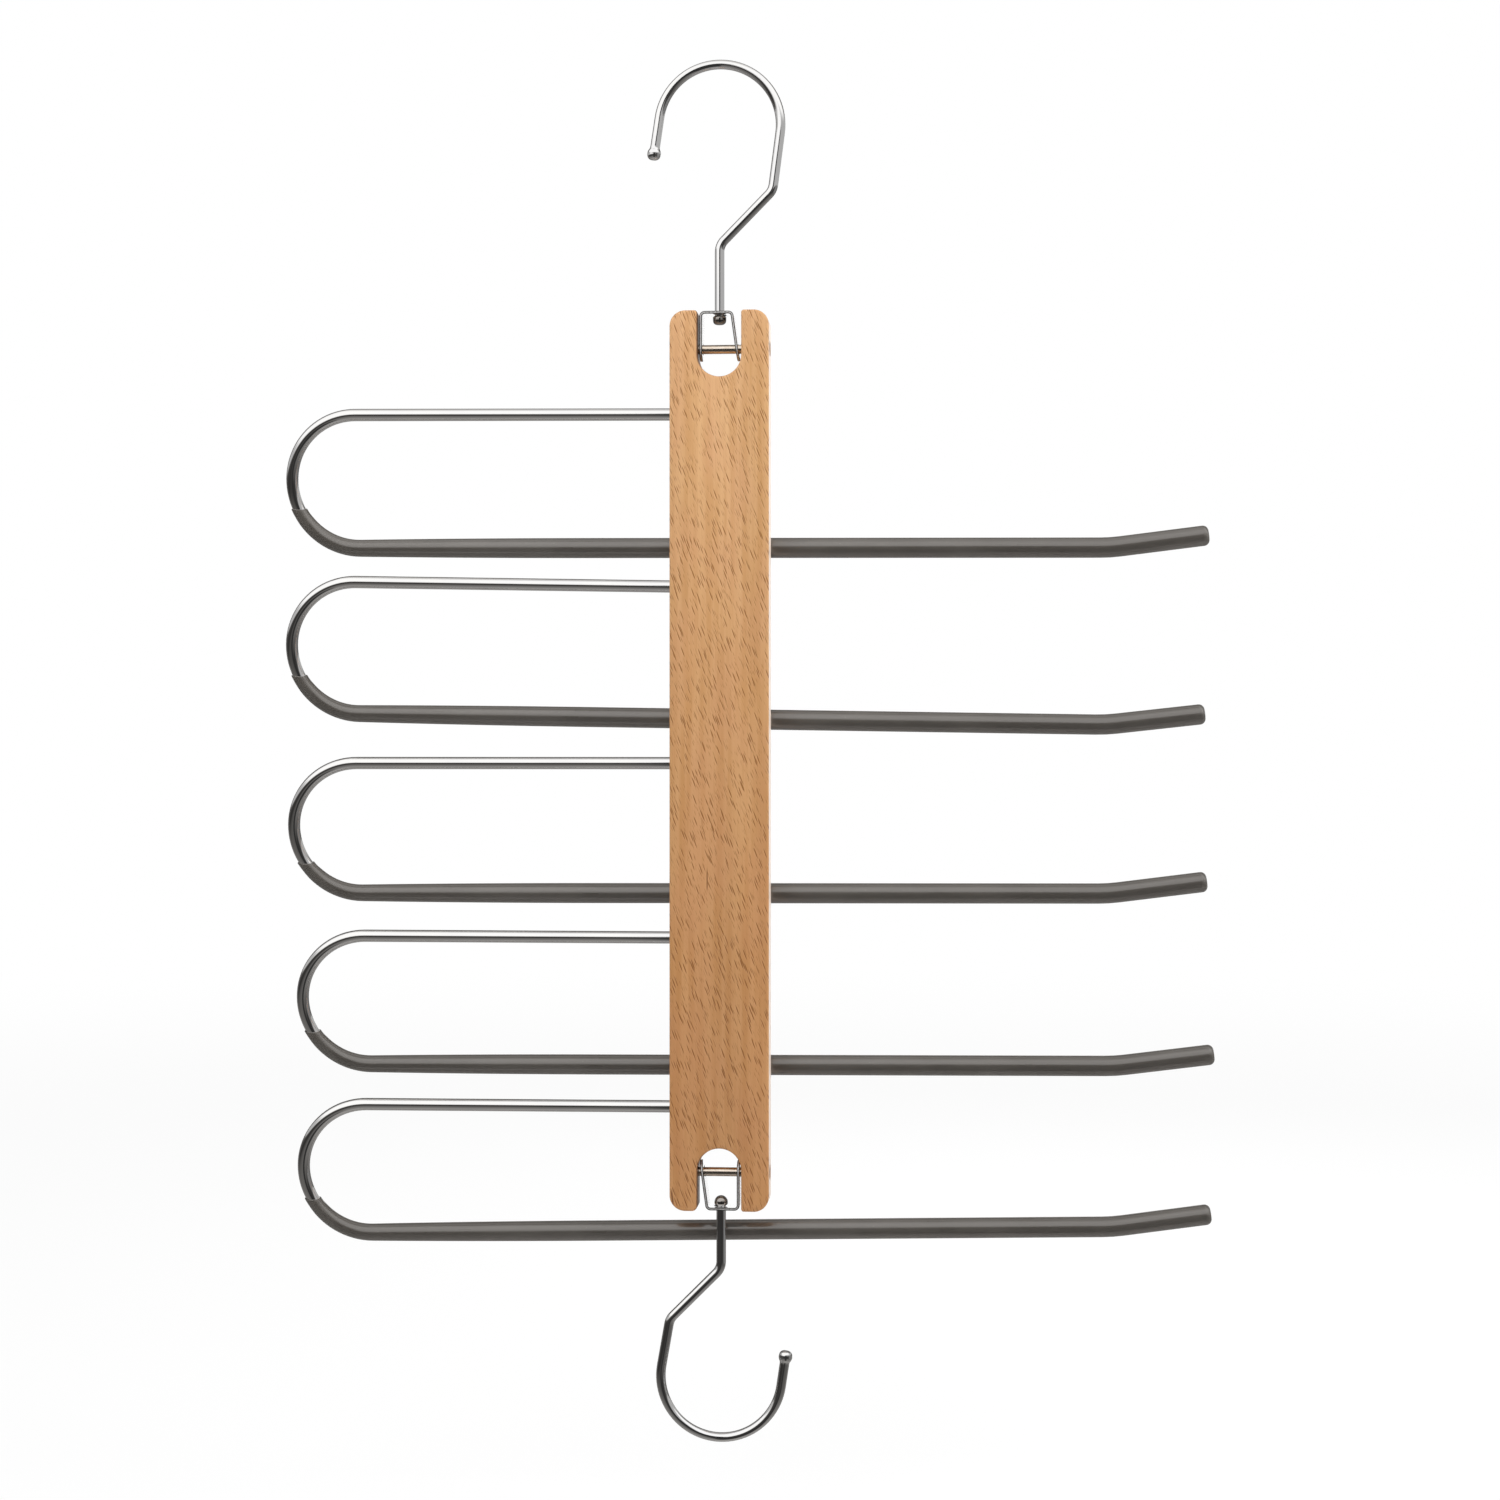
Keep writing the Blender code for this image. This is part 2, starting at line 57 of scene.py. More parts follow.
# Slots in the board: the width of both, and for each its depth and its mouth's left and right radius
SLOT_WIDTH = 0.0170
TOP_SLOT = (0.0256, 0.0012, 0.0010)
BOTTOM_SLOT = (0.0242, 0.0010, 0.0021)

# Hinge pins
PIN_DIAMETER = 0.0035
PIN_DEPTH_IN_FAR_PRONG = 0.0075
PIN_HEAD_DIAMETER = 0.0058
PIN_HEAD_THICKNESS = 0.0010
PIN_HEAD_SUNK = 0.0003
PIN_HEAD_ROUND = 0.0004

# Clevises
STRIP_WIDTH = 0.0092
STRIP_THICKNESS = 0.0011
STRIP_EDGE_ROUND = 0.00018
STRIP_EDGE_STEPS = 2
CLEVIS_WIDTH = 0.0131
CLEVIS_REACH = 0.0143
CLEVIS_SPLAY = 0.0019
CLEVIS_BEND_RADIUS = 0.0015
CLEVIS_HOLE_GAP = 0.0002
STRIP_CUT_SPACING = 0.0020

# Hooks
HOOK_WIRE_DIAMETER = 0.0037
HOOK_BALL_DIAMETER = 0.0052
HOOK_HEAD_COLLAR = 0.0012
HOOK_HEAD_GAP = 0.0003
HOOK_HEAD_ROUND = 0.0007
HOOK_HEAD_LENGTH = 0.0036
HOOK_BEND_RADIUS = 0.0065
HOOK_TAIL_DEGREES = 8.5
TIP_FLARE = 0.0007
TIP_SQUARENESS = 2.5
HookSize = namedtuple(
    "HookSize", "stem bend_rise bend_offset loop_rise loop_inside tail head_rise squareness"
)
TOP_HOOK = HookSize(0.0261, 0.0209, 0.0206, 0.0254, 0.0437, 0.0141, 0.0023, 2.8)
BOTTOM_HOOK = HookSize(0.0231, 0.0200, 0.0200, 0.0219, 0.0433, 0.0116, 0.0026, 2.0)

# Arms
ARM_WIRE_DIAMETER = 0.0048
ARM_LEG_SPACING = 0.052425
ARM_DEPTH_IN_BOARD = 0.0235
SLEEVE_DIAMETER = 0.0079
SLEEVE_BORE_GAP = 0.00008
SLEEVE_END_THICKNESS = 0.0018
SLEEVE_END_ROUND = 0.0022
SLEEVE_MOUTH_DIAMETER = 0.0058
SLEEVE_MOUTH_ROUND = 0.0002
SLEEVE_MOUTH_SETTLES = 0.0050
SLEEVE_WIDENING = 0.1200
TIP_LENGTH = 0.0380
TIP_BEND_RADIUS = 0.0600
TIP_RISE_DEGREES = 7.3
ArmPlace = namedtuple("ArmPlace", "length reach lift_degrees sleeve_degrees")
ARMS = (
    ArmPlace(0.3610, 0.1529, 0.2, 24.0),
    ArmPlace(0.3599, 0.1528, 0.2, 25.5),
    ArmPlace(0.3593, 0.1524, 0.2, 32.0),
    ArmPlace(0.3585, 0.1489, 0.4, 29.0),
    ArmPlace(0.3566, 0.1484, 1.1, 28.0),
)

# Retaining nails
NAIL_DIAMETER = 0.0016
NAIL_LENGTH = 0.0095
NAIL_HEAD_DIAMETER = 0.0030
NAIL_HEAD_THICKNESS = 0.0006
NAIL_HEAD_SUNK = 0.0001
NAIL_HEAD_ROUND = 0.0003
NAIL_FROM_EDGE = 0.0175
NAIL_ABOVE_WIRE = 0.0026

# Smoothness of round shapes
WIRE_SIDES = 36
PIN_SIDES = 48
BEND_STEP_DEGREES = 4.0
ROUND_STEPS = 6
BALL_STEPS = 14
TIP_STEPS = 42
STRAIGHT_STEP = 0.0120
SMOOTH_DEGREES = 35.0
MERGE_DISTANCE = 1e-6
CUT_TOLERANCE = 1e-7

# Noise patterns: the size of their features along three directions, their detail and its roughness
Pattern = namedtuple("Pattern", "sizes detail rough", defaults=(2.0, 0.5))

# Layers of a colour: a pattern, how its values fade the layer in, and the layer's own tone
Layer = namedtuple("Layer", "pattern fade tone")

# A fade, reach, chance or roughness goes to Graph.between, and a relief is a bump's depth and strength

# Beech: pale bands, warm patches and fine grain
BEECH_TONE = "CC9964"
BEECH_LAYERS = (
    Layer(Pattern((0.0028, 0.0080, 0.0900)), (0.35, 0.65), "D8A876"),
    Layer(Pattern((0.0120, 0.0200, 0.0350), 1.0), (0.35, 0.70, 0.0, 0.50), "D39E72"),
    Layer(Pattern((0.00050, 0.0020, 0.0150), 3.0, 0.6), (0.50, 0.75, 0.0, 0.35), "B5824E"),
)
BEECH_COAT = {"Coat_Weight": 0.25, "Coat_Roughness": 0.18}
BEECH_POLISH = Pattern((0.0060, 0.0060, 0.0300), 3.0)
BEECH_ROUGHNESS = (0.3, 0.7, 0.36, 0.50)
BEECH_RELIEF = (0.00006, 1.0)
# Painted shade: the beech is multiplied from the first tone at the board's top to the second at its
# bottom, darker and warmer lower down, where less light falls
BEECH_PAINTED_SHADE_TOP = (0.93, 0.95, 0.95, 1)
BEECH_PAINTED_SHADE_BOTTOM = (0.79, 0.69, 0.575, 1)
GRAIN_HEIGHT = 0.6

# Flecks in the beech: long ones, then short ones, each with the lit far side of its shallow pit
FleckKind = namedtuple("FleckKind", "sizes reach tone strength lit_strength")
FLECKS = (
    FleckKind((0.00068, 0.0030, 0.0064), (0.43, 0.22), "8C5516", 0.84, 0.42),
    FleckKind((0.00056, 0.0021, 0.0036), (0.38, 0.15), "9E6428", 0.58, 0.25),
)
FLECK_SLANT_DEGREES = 20
FLECK_CHANCE = (0.05, 0.60)
FLECK_LIT_TONE = "E8BE90"
FLECK_LIT_OFFSET = 0.30
FLECK_ROUGHNESS = 0.12
FLECK_HEIGHT = -0.8

# The beech's end grain, its worn long edges with a painted highlight, and the two faces that look
# right: a painted sheen on the right side and painted shade on the slots' left walls
END_GRAIN_FACING = (0.75, 0.95)
END_GRAIN_TONE = "A97B4C"
END_GRAIN_STRENGTH = 0.55
END_RINGS = Layer(Pattern((0.0005, 0.0015, 0.0300), 3.0, 0.6), (0.5, 0.8, 0.0, 0.4), "8A5C33")
# Long edges: paler scuffs, partly real wear and partly a painted highlight on the rounded edges
WORN_AND_HIGHLIT_REACH = (0.0012, 0.0002)
WORN_AND_HIGHLIT_SCUFFS = Layer(Pattern((0.0030, 0.0030, 0.0090), 3.0), (0.40, 0.65), "E2BC90")
WORN_AND_HIGHLIT_STRENGTH = 0.25
RIGHT_FACING = (0.30, 0.90)
# Painted sheen: the right side's outer face turns pale where it is seen at a grazing angle, as a strong
# side light shows it
SIDE_PAINTED_SHEEN_REACH = (0.0050, 0.0030)
SIDE_PAINTED_SHEEN_GRAZING = (0.45, 0.75)
SIDE_PAINTED_SHEEN_TONE = "EFE0D3"
SIDE_PAINTED_SHEEN_STRENGTH = 0.85
# Painted shade: the slots' left walls, which lie in shadow inside the slots, are darkened
SLOT_WALL_PAINTED_SHADE_REACH = (0.0060, 0.0080)
SLOT_WALL_PAINTED_SHADE_TONE = "5A3826"
SLOT_WALL_PAINTED_SHADE_STRENGTH = 0.75

# The two largest dark streaks on the board's front
Streak = namedtuple("Streak", "x top bottom width lean tone strength")
STREAKS = (
    Streak(-0.0046, -0.3085, -0.3190, 0.00032, 0.0, "7A4A1E", 0.9),
    Streak(-0.0181, -0.4325, -0.4405, 0.00050, 0.12, "6E3A1C", 0.8),
)
STREAK_FULL_WIDTH = 0.2
STREAK_FULL_LENGTH = 0.4
STREAK_DEPTH = (-0.0040, -0.0055)

# Chrome wire: patches of polish, then drawn lines
CHROME_TONE = "EDECEC"
CHROME_LAYERS = (
    Layer(Pattern((0.0040, 0.0040, 0.0250), 1.0), (0.35, 0.70), "F2F1EF"),
    Layer(Pattern((0.00025, 0.00025, 0.0400), 1.0), (0.60, 0.80, 0.0, 0.35), "CFCBC6"),
)
CHROME_ROUGHNESS = (0.30, 0.75, 0.05, 0.09)
CHROME_RELIEF = (0.00003, 0.1)
CHROME_LINE_HEIGHT = 0.03
# The formed head: a duller tone for the head itself, and painted shade where it sits inside the clevis
HOOK_HEAD_DULL_AND_SHADED_TONE = "A8A29C"
HOOK_HEAD_FADE = 0.0003

# Plated strip: rolled lines on its faces, and sheared edges with streaks and a dark rim of painted
# shade where they round over
STRIP_TONE = "F0F0F0"
STRIP_LAYERS = (Layer(Pattern((0.00012, 0.00012, 0.0060)), (0.5, 0.75, 0.0, 0.3), "D9D6D2"),)
STRIP_ROUGHNESS = (0.3, 0.8, 0.07, 0.14)
STRIP_RELIEF = (0.00002, 0.5)
SHEARED_REACH = (0.0001, 0.0003)
SHEARED_TONE = "FFFEFD"
SHEARED_ROUGHNESS = 0.55
SHEARED_STREAKS = Layer(Pattern((0.00015, 0.0006, 0.00015), 2.0, 0.6), (0.55, 0.70), "8C8884")
SHEARED_STREAK_HEIGHT = 3.0
# Painted shade: a dark, broken line along the borders of the sheared edges where they round over to the
# faces
RIM_SHADE_INNER_REACH = (0.00040, 0.00030)
RIM_SHADE_OUTER_REACH = (0.00001, 0.00004)
RIM_SHADE_BREAKS = (0.25, 0.55, 0.60, 1.0)
RIM_PAINTED_SHADE_TONE = "4A4642"

# Bare steel: patches, then turning marks
STEEL_TONE = "F0E2D2"
STEEL_LAYERS = (
    Layer(Pattern((0.0010, 0.0010, 0.0020), 3.0), (0.35, 0.7), "E0D0BE"),
    Layer(Pattern((0.0040, 0.0040, 0.00012)), (0.60, 0.80, 0.0, 0.2), "A89C8D"),
)
STEEL_ROUGHNESS = (0.3, 0.7, 0.14, 0.22)
STEEL_RELIEF = (0.000002, 0.3)

# Grey plastic: clouds, then extrusion lines, with dust and a slightly uneven skin
PLASTIC_TONE = "4B4742"
PLASTIC_LAYERS = (
    Layer(Pattern((0.0060, 0.0060, 0.0200), 3.0), (0.35, 0.70), "524E49"),
    Layer(Pattern((0.0007, 0.0007, 0.0700)), (0.55, 0.75, 0.0, 0.35), "44403B"),
)
PLASTIC_GLOSS = {
    "IOR": 1.80,
    "Specular_Tint": (1.0, 0.95, 0.91, 1.0),
    "Coat_Weight": 0.66,
    "Coat_Roughness": 0.07,
    "Coat_IOR": 1.80,
}
PLASTIC_ROUGHNESS = (0.3, 0.7, 0.24, 0.30)
PLASTIC_RELIEF = (0.00002, 0.2)
PLASTIC_SKIN = Pattern((0.0020, 0.0020, 0.0060), 1.0)
PLASTIC_SKIN_HEIGHT = 0.5
PLASTIC_LINE_HEIGHT = 0.3
PLASTIC_LINE_ROUGHNESS = 0.08
DUST_SPACING = (0.0030, 0.0030, 0.0050)
DUST_REACH = (0.07, 0.03)
DUST_CHANCE = (0.6, 0.9)
DUST_TONE = "A09A92"
DUST_STRENGTH = 0.20

# Camera, from the photograph's frame
CAMERA_AZIMUTH_DEGREES = 4.5
CAMERA_DISTANCE = 1.000
CAMERA_TARGET = Vector((0.0115, 0, -0.2637))
CAMERA_LENS_MM = 62.0
CAMERA_SENSOR_MM = 36.0

# Floor: how white it shows near the hanger, and where it fades to all white
FLOOR_BELOW_OBJECT = 0.030
FLOOR_SIZE = 12.0
FLOOR_TONE = "F4F4F4"
FLOOR_ROUGHNESS = 0.9
FLOOR_WHITE_NEAR = 0.88
FLOOR_FADE = (0.3, 2.6)

# Soft light from above and less from below, and the heights it fades between
WORLD_TOP = 0.48
WORLD_BOTTOM = 0.20
WORLD_FADE = (-0.5, 0.7)

# Lamps
LampPlace = namedtuple("LampPlace", "name location target size power")
LAMPS = (
    LampPlace("key", (-0.25, -0.50, 0.36), (0.0, 0.0, -0.20), (0.50, 0.50), 5.0),
    LampPlace("side", (1.30, -0.10, 0.30), (0.0, 0.0, -0.25), (0.90, 0.90), 16.0),
    LampPlace("back", (0.20, 0.90, 0.20), (0.0, 0.0, -0.25), (0.60, 0.60), 5.0),
)

# The studio in the metal's gloss: heights from 0 straight below to 1 straight above, and tones
STUDIO_RADIUS = 4.0
STUDIO_SEGMENTS = (48, 24)
DOME_AHEAD = (
    (0.0, 0.38), (0.017, 0.30), (0.117, 0.20), (0.25, 0.13), (0.33, 0.08),
    (0.396, 0.03), (0.50, 0.05), (0.53, 0.16), (0.56, 0.55), (0.59, 0.90),
    (0.62, 1.12), (0.95, 1.12), (1.0, 0.66),
)
DOME_BEHIND = (
    (0.0, 0.38), (0.117, 0.30), (0.30, 0.20), (0.50, 0.12), (0.80, 0.12),
    (0.90, 0.22), (0.95, 0.38), (1.0, 0.62),
)
DOME_BEHIND_FADE = (0.10, -0.50)
DOME_WARMTH = 0.08
DOME_WARMTH_IN_GREEN = 0.5
DOME_STAND_X = 0.110

# Patches of the studio, each laid over those before it: a tone and the edges that bound it, which are
# measures of the direction, each with the two values between which the patch fades in
DOME_PATCHES = {
    "right below": (0.22, ("right", 0.80, 0.95), ("up", 0.09, 0.05), ("up", -0.45, -0.25)),
    "right above": (0.46, ("right", 0.12, 0.30), ("up", 0.06, 0.12), ("up", 0.50, 0.30)),
    "stand": (0.03, ("off stand", 0.24, 0.21), ("ahead", 0.5, 0.6), ("up", 0.30, 0.26)),
    "left above": (0.50, ("right", -0.80, -0.93), ("up", 0.06, 0.12), ("up", 0.45, 0.30)),
    "backdrop": (1.10, ("off level", 0.32, 0.28), ("ahead", -0.955, -0.975)),
}

UNBENT = "unbent"
Station = namedtuple("Station", "point direction radius")
X_AXIS = Vector((1, 0, 0))
Y_AXIS = Vector((0, 1, 0))
Z_AXIS = Vector((0, 0, 1))

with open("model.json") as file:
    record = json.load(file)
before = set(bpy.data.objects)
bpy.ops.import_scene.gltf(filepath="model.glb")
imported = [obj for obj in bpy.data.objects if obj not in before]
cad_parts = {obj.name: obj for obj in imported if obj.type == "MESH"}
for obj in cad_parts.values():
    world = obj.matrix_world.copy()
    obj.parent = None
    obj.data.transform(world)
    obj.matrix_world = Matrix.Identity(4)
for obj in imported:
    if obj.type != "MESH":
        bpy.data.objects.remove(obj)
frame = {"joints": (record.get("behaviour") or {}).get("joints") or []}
cad_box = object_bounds()
joints = {joint["name"]: joint for joint in frame["joints"]}


def in_plane(x, z):
    return Vector((x, 0, z))


def joint_place(name):
    return Vector(joints[name]["pos_m"])


# Routes in the XZ plane


def arc(centre, radius, first, last):
    """Points and directions along an arc in the XZ plane, between two angles from +X towards +Z."""
    count = math.ceil(abs(last - first) / math.radians(BEND_STEP_DEGREES))
    turn = math.copysign(1, last - first)
    route = []
    for n in range(count + 1):
        angle = first + (last - first) * n / count
        outward = in_plane(math.cos(angle), math.sin(angle))
        along = turn * in_plane(-math.sin(angle), math.cos(angle))
        route.append((centre + radius * outward, along))
    return route


def corner(before, at, after, radius):
    """Points and directions round a corner of the XZ plane that is bent to a radius."""
    into = (at - before).normalized()
    out = (after - at).normalized()
    turn = math.atan2(into.x * out.z - into.z * out.x, into.dot(out))
    inward = math.copysign(1, turn) * in_plane(-into.z, into.x)
    centre = at - into * radius * math.tan(abs(turn) / 2) + inward * radius
    first = math.atan2(-inward.z, -inward.x)
    return arc(centre, radius, first, first + turn)


def filled_in(route, step):
    """The route with more points wherever two lie further apart than a step."""
    dense = route[:1]
    for (start, _), (end, along) in zip(route, route[1:]):
        count = math.ceil((end - start).length / step)
        dense += [(start.lerp(end, n / count), along) for n in range(1, count)]
        dense.append((end, along))
    return dense


# Round bodies


def widening(route, first, last, length):
    """Stations whose radius grows over the first stretch of a route, fastest at its start."""
    stations = []
    run = 0
    before = route[0][0]
    for point, along in route:
        run += (point - before).length
        before = point
        left = max(0, 1 - run / length)
        stations.append(Station(point, along, last - (last - first) * left**2))
    return stations


def swept(stations, sides):
    """A closed round body whose vertices carry their place on the same body before it was bent.

    A station of radius 0 is a single vertex that stands for its whole ring.
    """
    shape = bmesh.new()
    unbent = shape.verts.layers.float_vector.new(UNBENT)
    rings = []
    run = 0
    previous = stations[0].point
    for point, along, radius in stations:
        run += (point - previous).length
        previous = point
        across = along.cross(Y_AXIS)
        corners = sides if radius else 1
        ring = []
        for n in range(corners):
            angle = 2 * math.pi * n / corners
            offset = radius * Vector((math.cos(angle), math.sin(angle)))
            vert = shape.verts.new(point + offset.x * Y_AXIS + offset.y * across)
            vert[unbent] = (offset.x, offset.y, run)
            ring.append(vert)
        rings.append(ring * (sides // corners))
    for ring, following in zip(rings, rings[1:]):
        for n in range(sides):
            m = (n + 1) % sides
            shape.faces.new(dict.fromkeys((ring[n], ring[m], following[m], following[n])))
    bmesh.ops.recalc_face_normals(shape, faces=shape.faces)
    return shape


def turned(profile):
    """A solid turned about the X axis, from its places along X and its radius at each."""
    stations = [Station(in_plane(x, 0), X_AXIS, radius) for x, radius in profile]
    return swept(stations, PIN_SIDES)


def rounded_end(place, radius, rounding, direction=1):
    """Places and radii over an end that is flat in its middle and rounded at its rim."""
    profile = []
    for n in range(ROUND_STEPS + 1):
        angle = math.pi / 2 * n / ROUND_STEPS
        back = rounding * (1 - math.sin(angle))
        profile.append((place - direction * back, radius - rounding + rounding * math.cos(angle)))
    profile.append((place, 0))
    return profile


def headed(length, shank, head, thickness, rounding):
    """A pin along +X, from its two diameters, with the outside of its round edged head at zero."""
    head /= 2
    shank /= 2
    face = rounded_end(0, head, rounding, -1)[::-1]
    return turned(face + [(thickness, head), (thickness, shank), (length, shank), (length, 0)])


def cutter(start, end, diameter):
    """What a round hole along +X is cut with: a rod a little wider than what sits in the hole."""
    radius = diameter / 2 + BORE_GAP
    return turned(((start, 0), (start, radius), (end, radius), (end, 0)))


# Meshes


def finished_mesh(thing):
    """The mesh of an object as it comes out of its modifiers or its curve's settings."""
    bpy.context.view_layer.update()
    depsgraph = bpy.context.evaluated_depsgraph_get()
    return bpy.data.meshes.new_from_object(thing.evaluated_get(depsgraph))


def smoothed(mesh):
    """The mesh with smooth faces that meet sharply only at real edges."""
    mesh.shade_smooth()
    mesh.set_sharp_from_angle(angle=math.radians(SMOOTH_DEGREES))
    return mesh


# Flat plates


def flat_plate(outlines, thickness, edge_round, steps):
    """A plate in the XY plane with holes and rounded edges, filled between flat outlines."""
    curve = bpy.data.curves.new("outline", "CURVE")
    curve.dimensions = "2D"
    curve.fill_mode = "BOTH"
    curve.extrude = thickness / 2 - edge_round
    curve.bevel_depth = edge_round
    curve.bevel_resolution = steps
    curve.offset = -edge_round
    for outline in outlines:
        spline = curve.splines.new("POLY")
        spline.points.add(len(outline) - 1)
        spline.use_cyclic_u = True
        for place, (x, y) in zip(spline.points, outline):
            place.co = (x, y, 0, 1)
    holder = bpy.data.objects.new("outline", curve)
    bpy.context.scene.collection.objects.link(holder)
    mesh = finished_mesh(holder)
    bpy.data.objects.remove(holder)
    shape = bmesh.new()
    shape.from_mesh(mesh)
    bpy.data.meshes.remove(mesh)
    bmesh.ops.remove_doubles(shape, verts=shape.verts, dist=MERGE_DISTANCE)
    bmesh.ops.recalc_face_normals(shape, faces=shape.faces)
    return shape


def circle(x, radius):
    """The outline of a round hole whose middle lies on the X axis."""
    steps = [2 * math.pi * n / PIN_SIDES for n in range(PIN_SIDES)]
    return [(x + radius * math.cos(angle), radius * math.sin(angle)) for angle in steps]


# Objects


def new_object(name, shape, placing):
    """A linked object of a bmesh in place in the CAD frame, with its round faces smooth."""
    mesh = bpy.data.meshes.new(name)
    shape.to_mesh(mesh)
    shape.free()
    mesh.transform(placing)
    thing = bpy.data.objects.new(name, smoothed(mesh))
    bpy.context.scene.collection.objects.link(thing)
    return thing


def dress(thing, node, body, material):
    """Makes a piece stand for a CAD node, ride on its body and wear a material."""
    thing.data.materials.append(material)
    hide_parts(node)
    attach(thing, body)


def bored(thing, cutters):
    """Cuts each of the cutters out of a piece, and removes them."""
    for tool in cutters:
        boolean = thing.modifiers.new(tool.name, "BOOLEAN")
        boolean.operation = "DIFFERENCE"
        boolean.solver = "EXACT"
        boolean.object = tool
    finished = finished_mesh(thing)
    thing.modifiers.clear()
    thing.data = smoothed(finished)
    for tool in cutters:
        bpy.data.objects.remove(tool)


# Sub-parts


def board_end(length, width, slot):
    """Half the board's outline: an end, with its slot's depth and the two radii of its mouth."""
    end = length / 2
    side = width / 2
    mouth = SLOT_WIDTH / 2
    depth, left, right = slot
    prong = [in_plane(side, 0), in_plane(side, end), in_plane(mouth, end), in_plane(mouth, 0)]
    other = [in_plane(-point.x, point.z) for point in prong[::-1]]
    half = corner(*prong[:3], BOARD_CORNER_RADIUS) + corner(*prong[1:], right)
    half += arc(in_plane(0, end - depth + mouth), mouth, 0, -math.pi)
    half += corner(*other[:3], left) + corner(*other[1:], BOARD_CORNER_RADIUS)
    return [point for point, _ in half]


def arm_placing(number):
    """Where an arm's socket lies: its pivot on the board's edge, turned to the arm's slope."""
    name = f"arm_{number}_swing"
    along = Vector(joints[name]["axis"])
    slope = Matrix.Rotation(math.atan2(-along.z, along.x), 4, "Y")
    return Matrix.Translation(joint_place(name)) @ slope


def swung_placing(number):
    """The arm's own placing: its socket's, swung until its bar lies where the CAD's bar lies."""
    bar_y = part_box(f"arm_{number}_sleeve")[1].y - SLEEVE_DIAMETER / 2
    swing = math.asin(bar_y / ARM_LEG_SPACING)
    return arm_placing(number) @ Matrix.Rotation(swing, 4, "X")


def nail_placing(number, back):
    """Where an arm's nail lies: its head in the board's back, above the wire."""
    start = Vector((NAIL_FROM_EDGE, back - NAIL_HEAD_SUNK, NAIL_ABOVE_WIRE))
    return arm_placing(number) @ Matrix.Translation(start) @ Matrix.Rotation(-math.pi / 2, 4, "Z")


def pin_placing(right, name):
    """Where the pin of a joint lies: its head in the board's right edge."""
    start = Vector((right - PIN_HEAD_SUNK, 0, joint_place(name).z))
    return Matrix.Translation(start) @ Matrix.Rotation(math.pi, 4, "Z")


def board_cutters(high):
    """What cuts the board's holes: a bore and a sink for each pin, and for each arm and its nail."""
    pin_end = high.x + SLOT_WIDTH / 2 + PIN_DEPTH_IN_FAR_PRONG
    cutters = []
    for name in ("top_fold", "bottom_fold"):
        place = pin_placing(high.x, name)
        bore = cutter(-PIN_HEAD_THICKNESS, pin_end, PIN_DIAMETER)
        sink = cutter(-PIN_HEAD_THICKNESS, PIN_HEAD_THICKNESS, PIN_HEAD_DIAMETER)
        cutters.append(new_object(f"{name}_bore", bore, place))
        cutters.append(new_object(f"{name}_sink", sink, place))
    for number in range(1, len(ARMS) + 1):
        bore = cutter(-ARM_WIRE_DIAMETER, ARM_DEPTH_IN_BOARD, ARM_WIRE_DIAMETER)
        cutters.append(new_object(f"arm_{number}_bore", bore, arm_placing(number)))
        sink = cutter(-NAIL_HEAD_THICKNESS, NAIL_HEAD_THICKNESS, NAIL_HEAD_DIAMETER)
        cutters.append(new_object(f"nail_{number}_sink", sink, nail_placing(number, high.y)))
    return cutters


def make_board(material):
    """The slotted board with softly rounded edges, bored for its pins, arms and nails."""
    low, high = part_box("beech_board")
    length = high.z - low.z
    width = high.x - low.x
    top = board_end(length, width, TOP_SLOT)
    bottom = [-point for point in board_end(length, width, BOTTOM_SLOT)]
    outline = [(point.x, point.z) for point in top + bottom]
    shape = flat_plate([outline], high.y - low.y, BOARD_EDGE_ROUND, BOARD_EDGE_STEPS)
    upright = Matrix.Rotation(math.pi / 2, 4, "X")
    board = new_object("board_of_beech", shape, Matrix.Translation((low + high) / 2) @ upright)
    bored(board, board_cutters(high))
    dress(board, "beech_board", "board", material)


def make_pins(material):
    """The two hinge pins, driven in from the board's right edge."""
    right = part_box("beech_board")[1].x
    length = right - PIN_HEAD_SUNK + SLOT_WIDTH / 2 + PIN_DEPTH_IN_FAR_PRONG - BORE_GAP
    for end in ("top", "bottom"):
        shape = headed(length, PIN_DIAMETER, PIN_HEAD_DIAMETER, PIN_HEAD_THICKNESS, PIN_HEAD_ROUND)
        pin = new_object(f"{end}_pin", shape, pin_placing(right, f"{end}_fold"))
        dress(pin, f"{end}_hinge_pin", "board", material)


def make_nails(material):
    """The nails in the board's back, one beside each arm's groove."""
    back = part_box("beech_board")[1].y
    for number in range(1, len(ARMS) + 1):
        head = (NAIL_HEAD_DIAMETER, NAIL_HEAD_THICKNESS, NAIL_HEAD_ROUND)
        shape = headed(NAIL_LENGTH, NAIL_DIAMETER, *head)
        nail = new_object(f"nail_{number}", shape, nail_placing(number, back))
        dress(nail, f"arm_{number}_nail", "board", material)


def end_placing(end):
    """An end's stem axis: the frame of its clevis and hook, with the pin's axis along its X."""
    stem = joint_place(f"{end}_hook_swivel")
    pin = joint_place(f"{end}_fold")
    turn = Matrix.Rotation(0 if end == "top" else math.pi, 4, "Y")
    return Matrix.Translation((stem.x, 0, pin.z)) @ turn


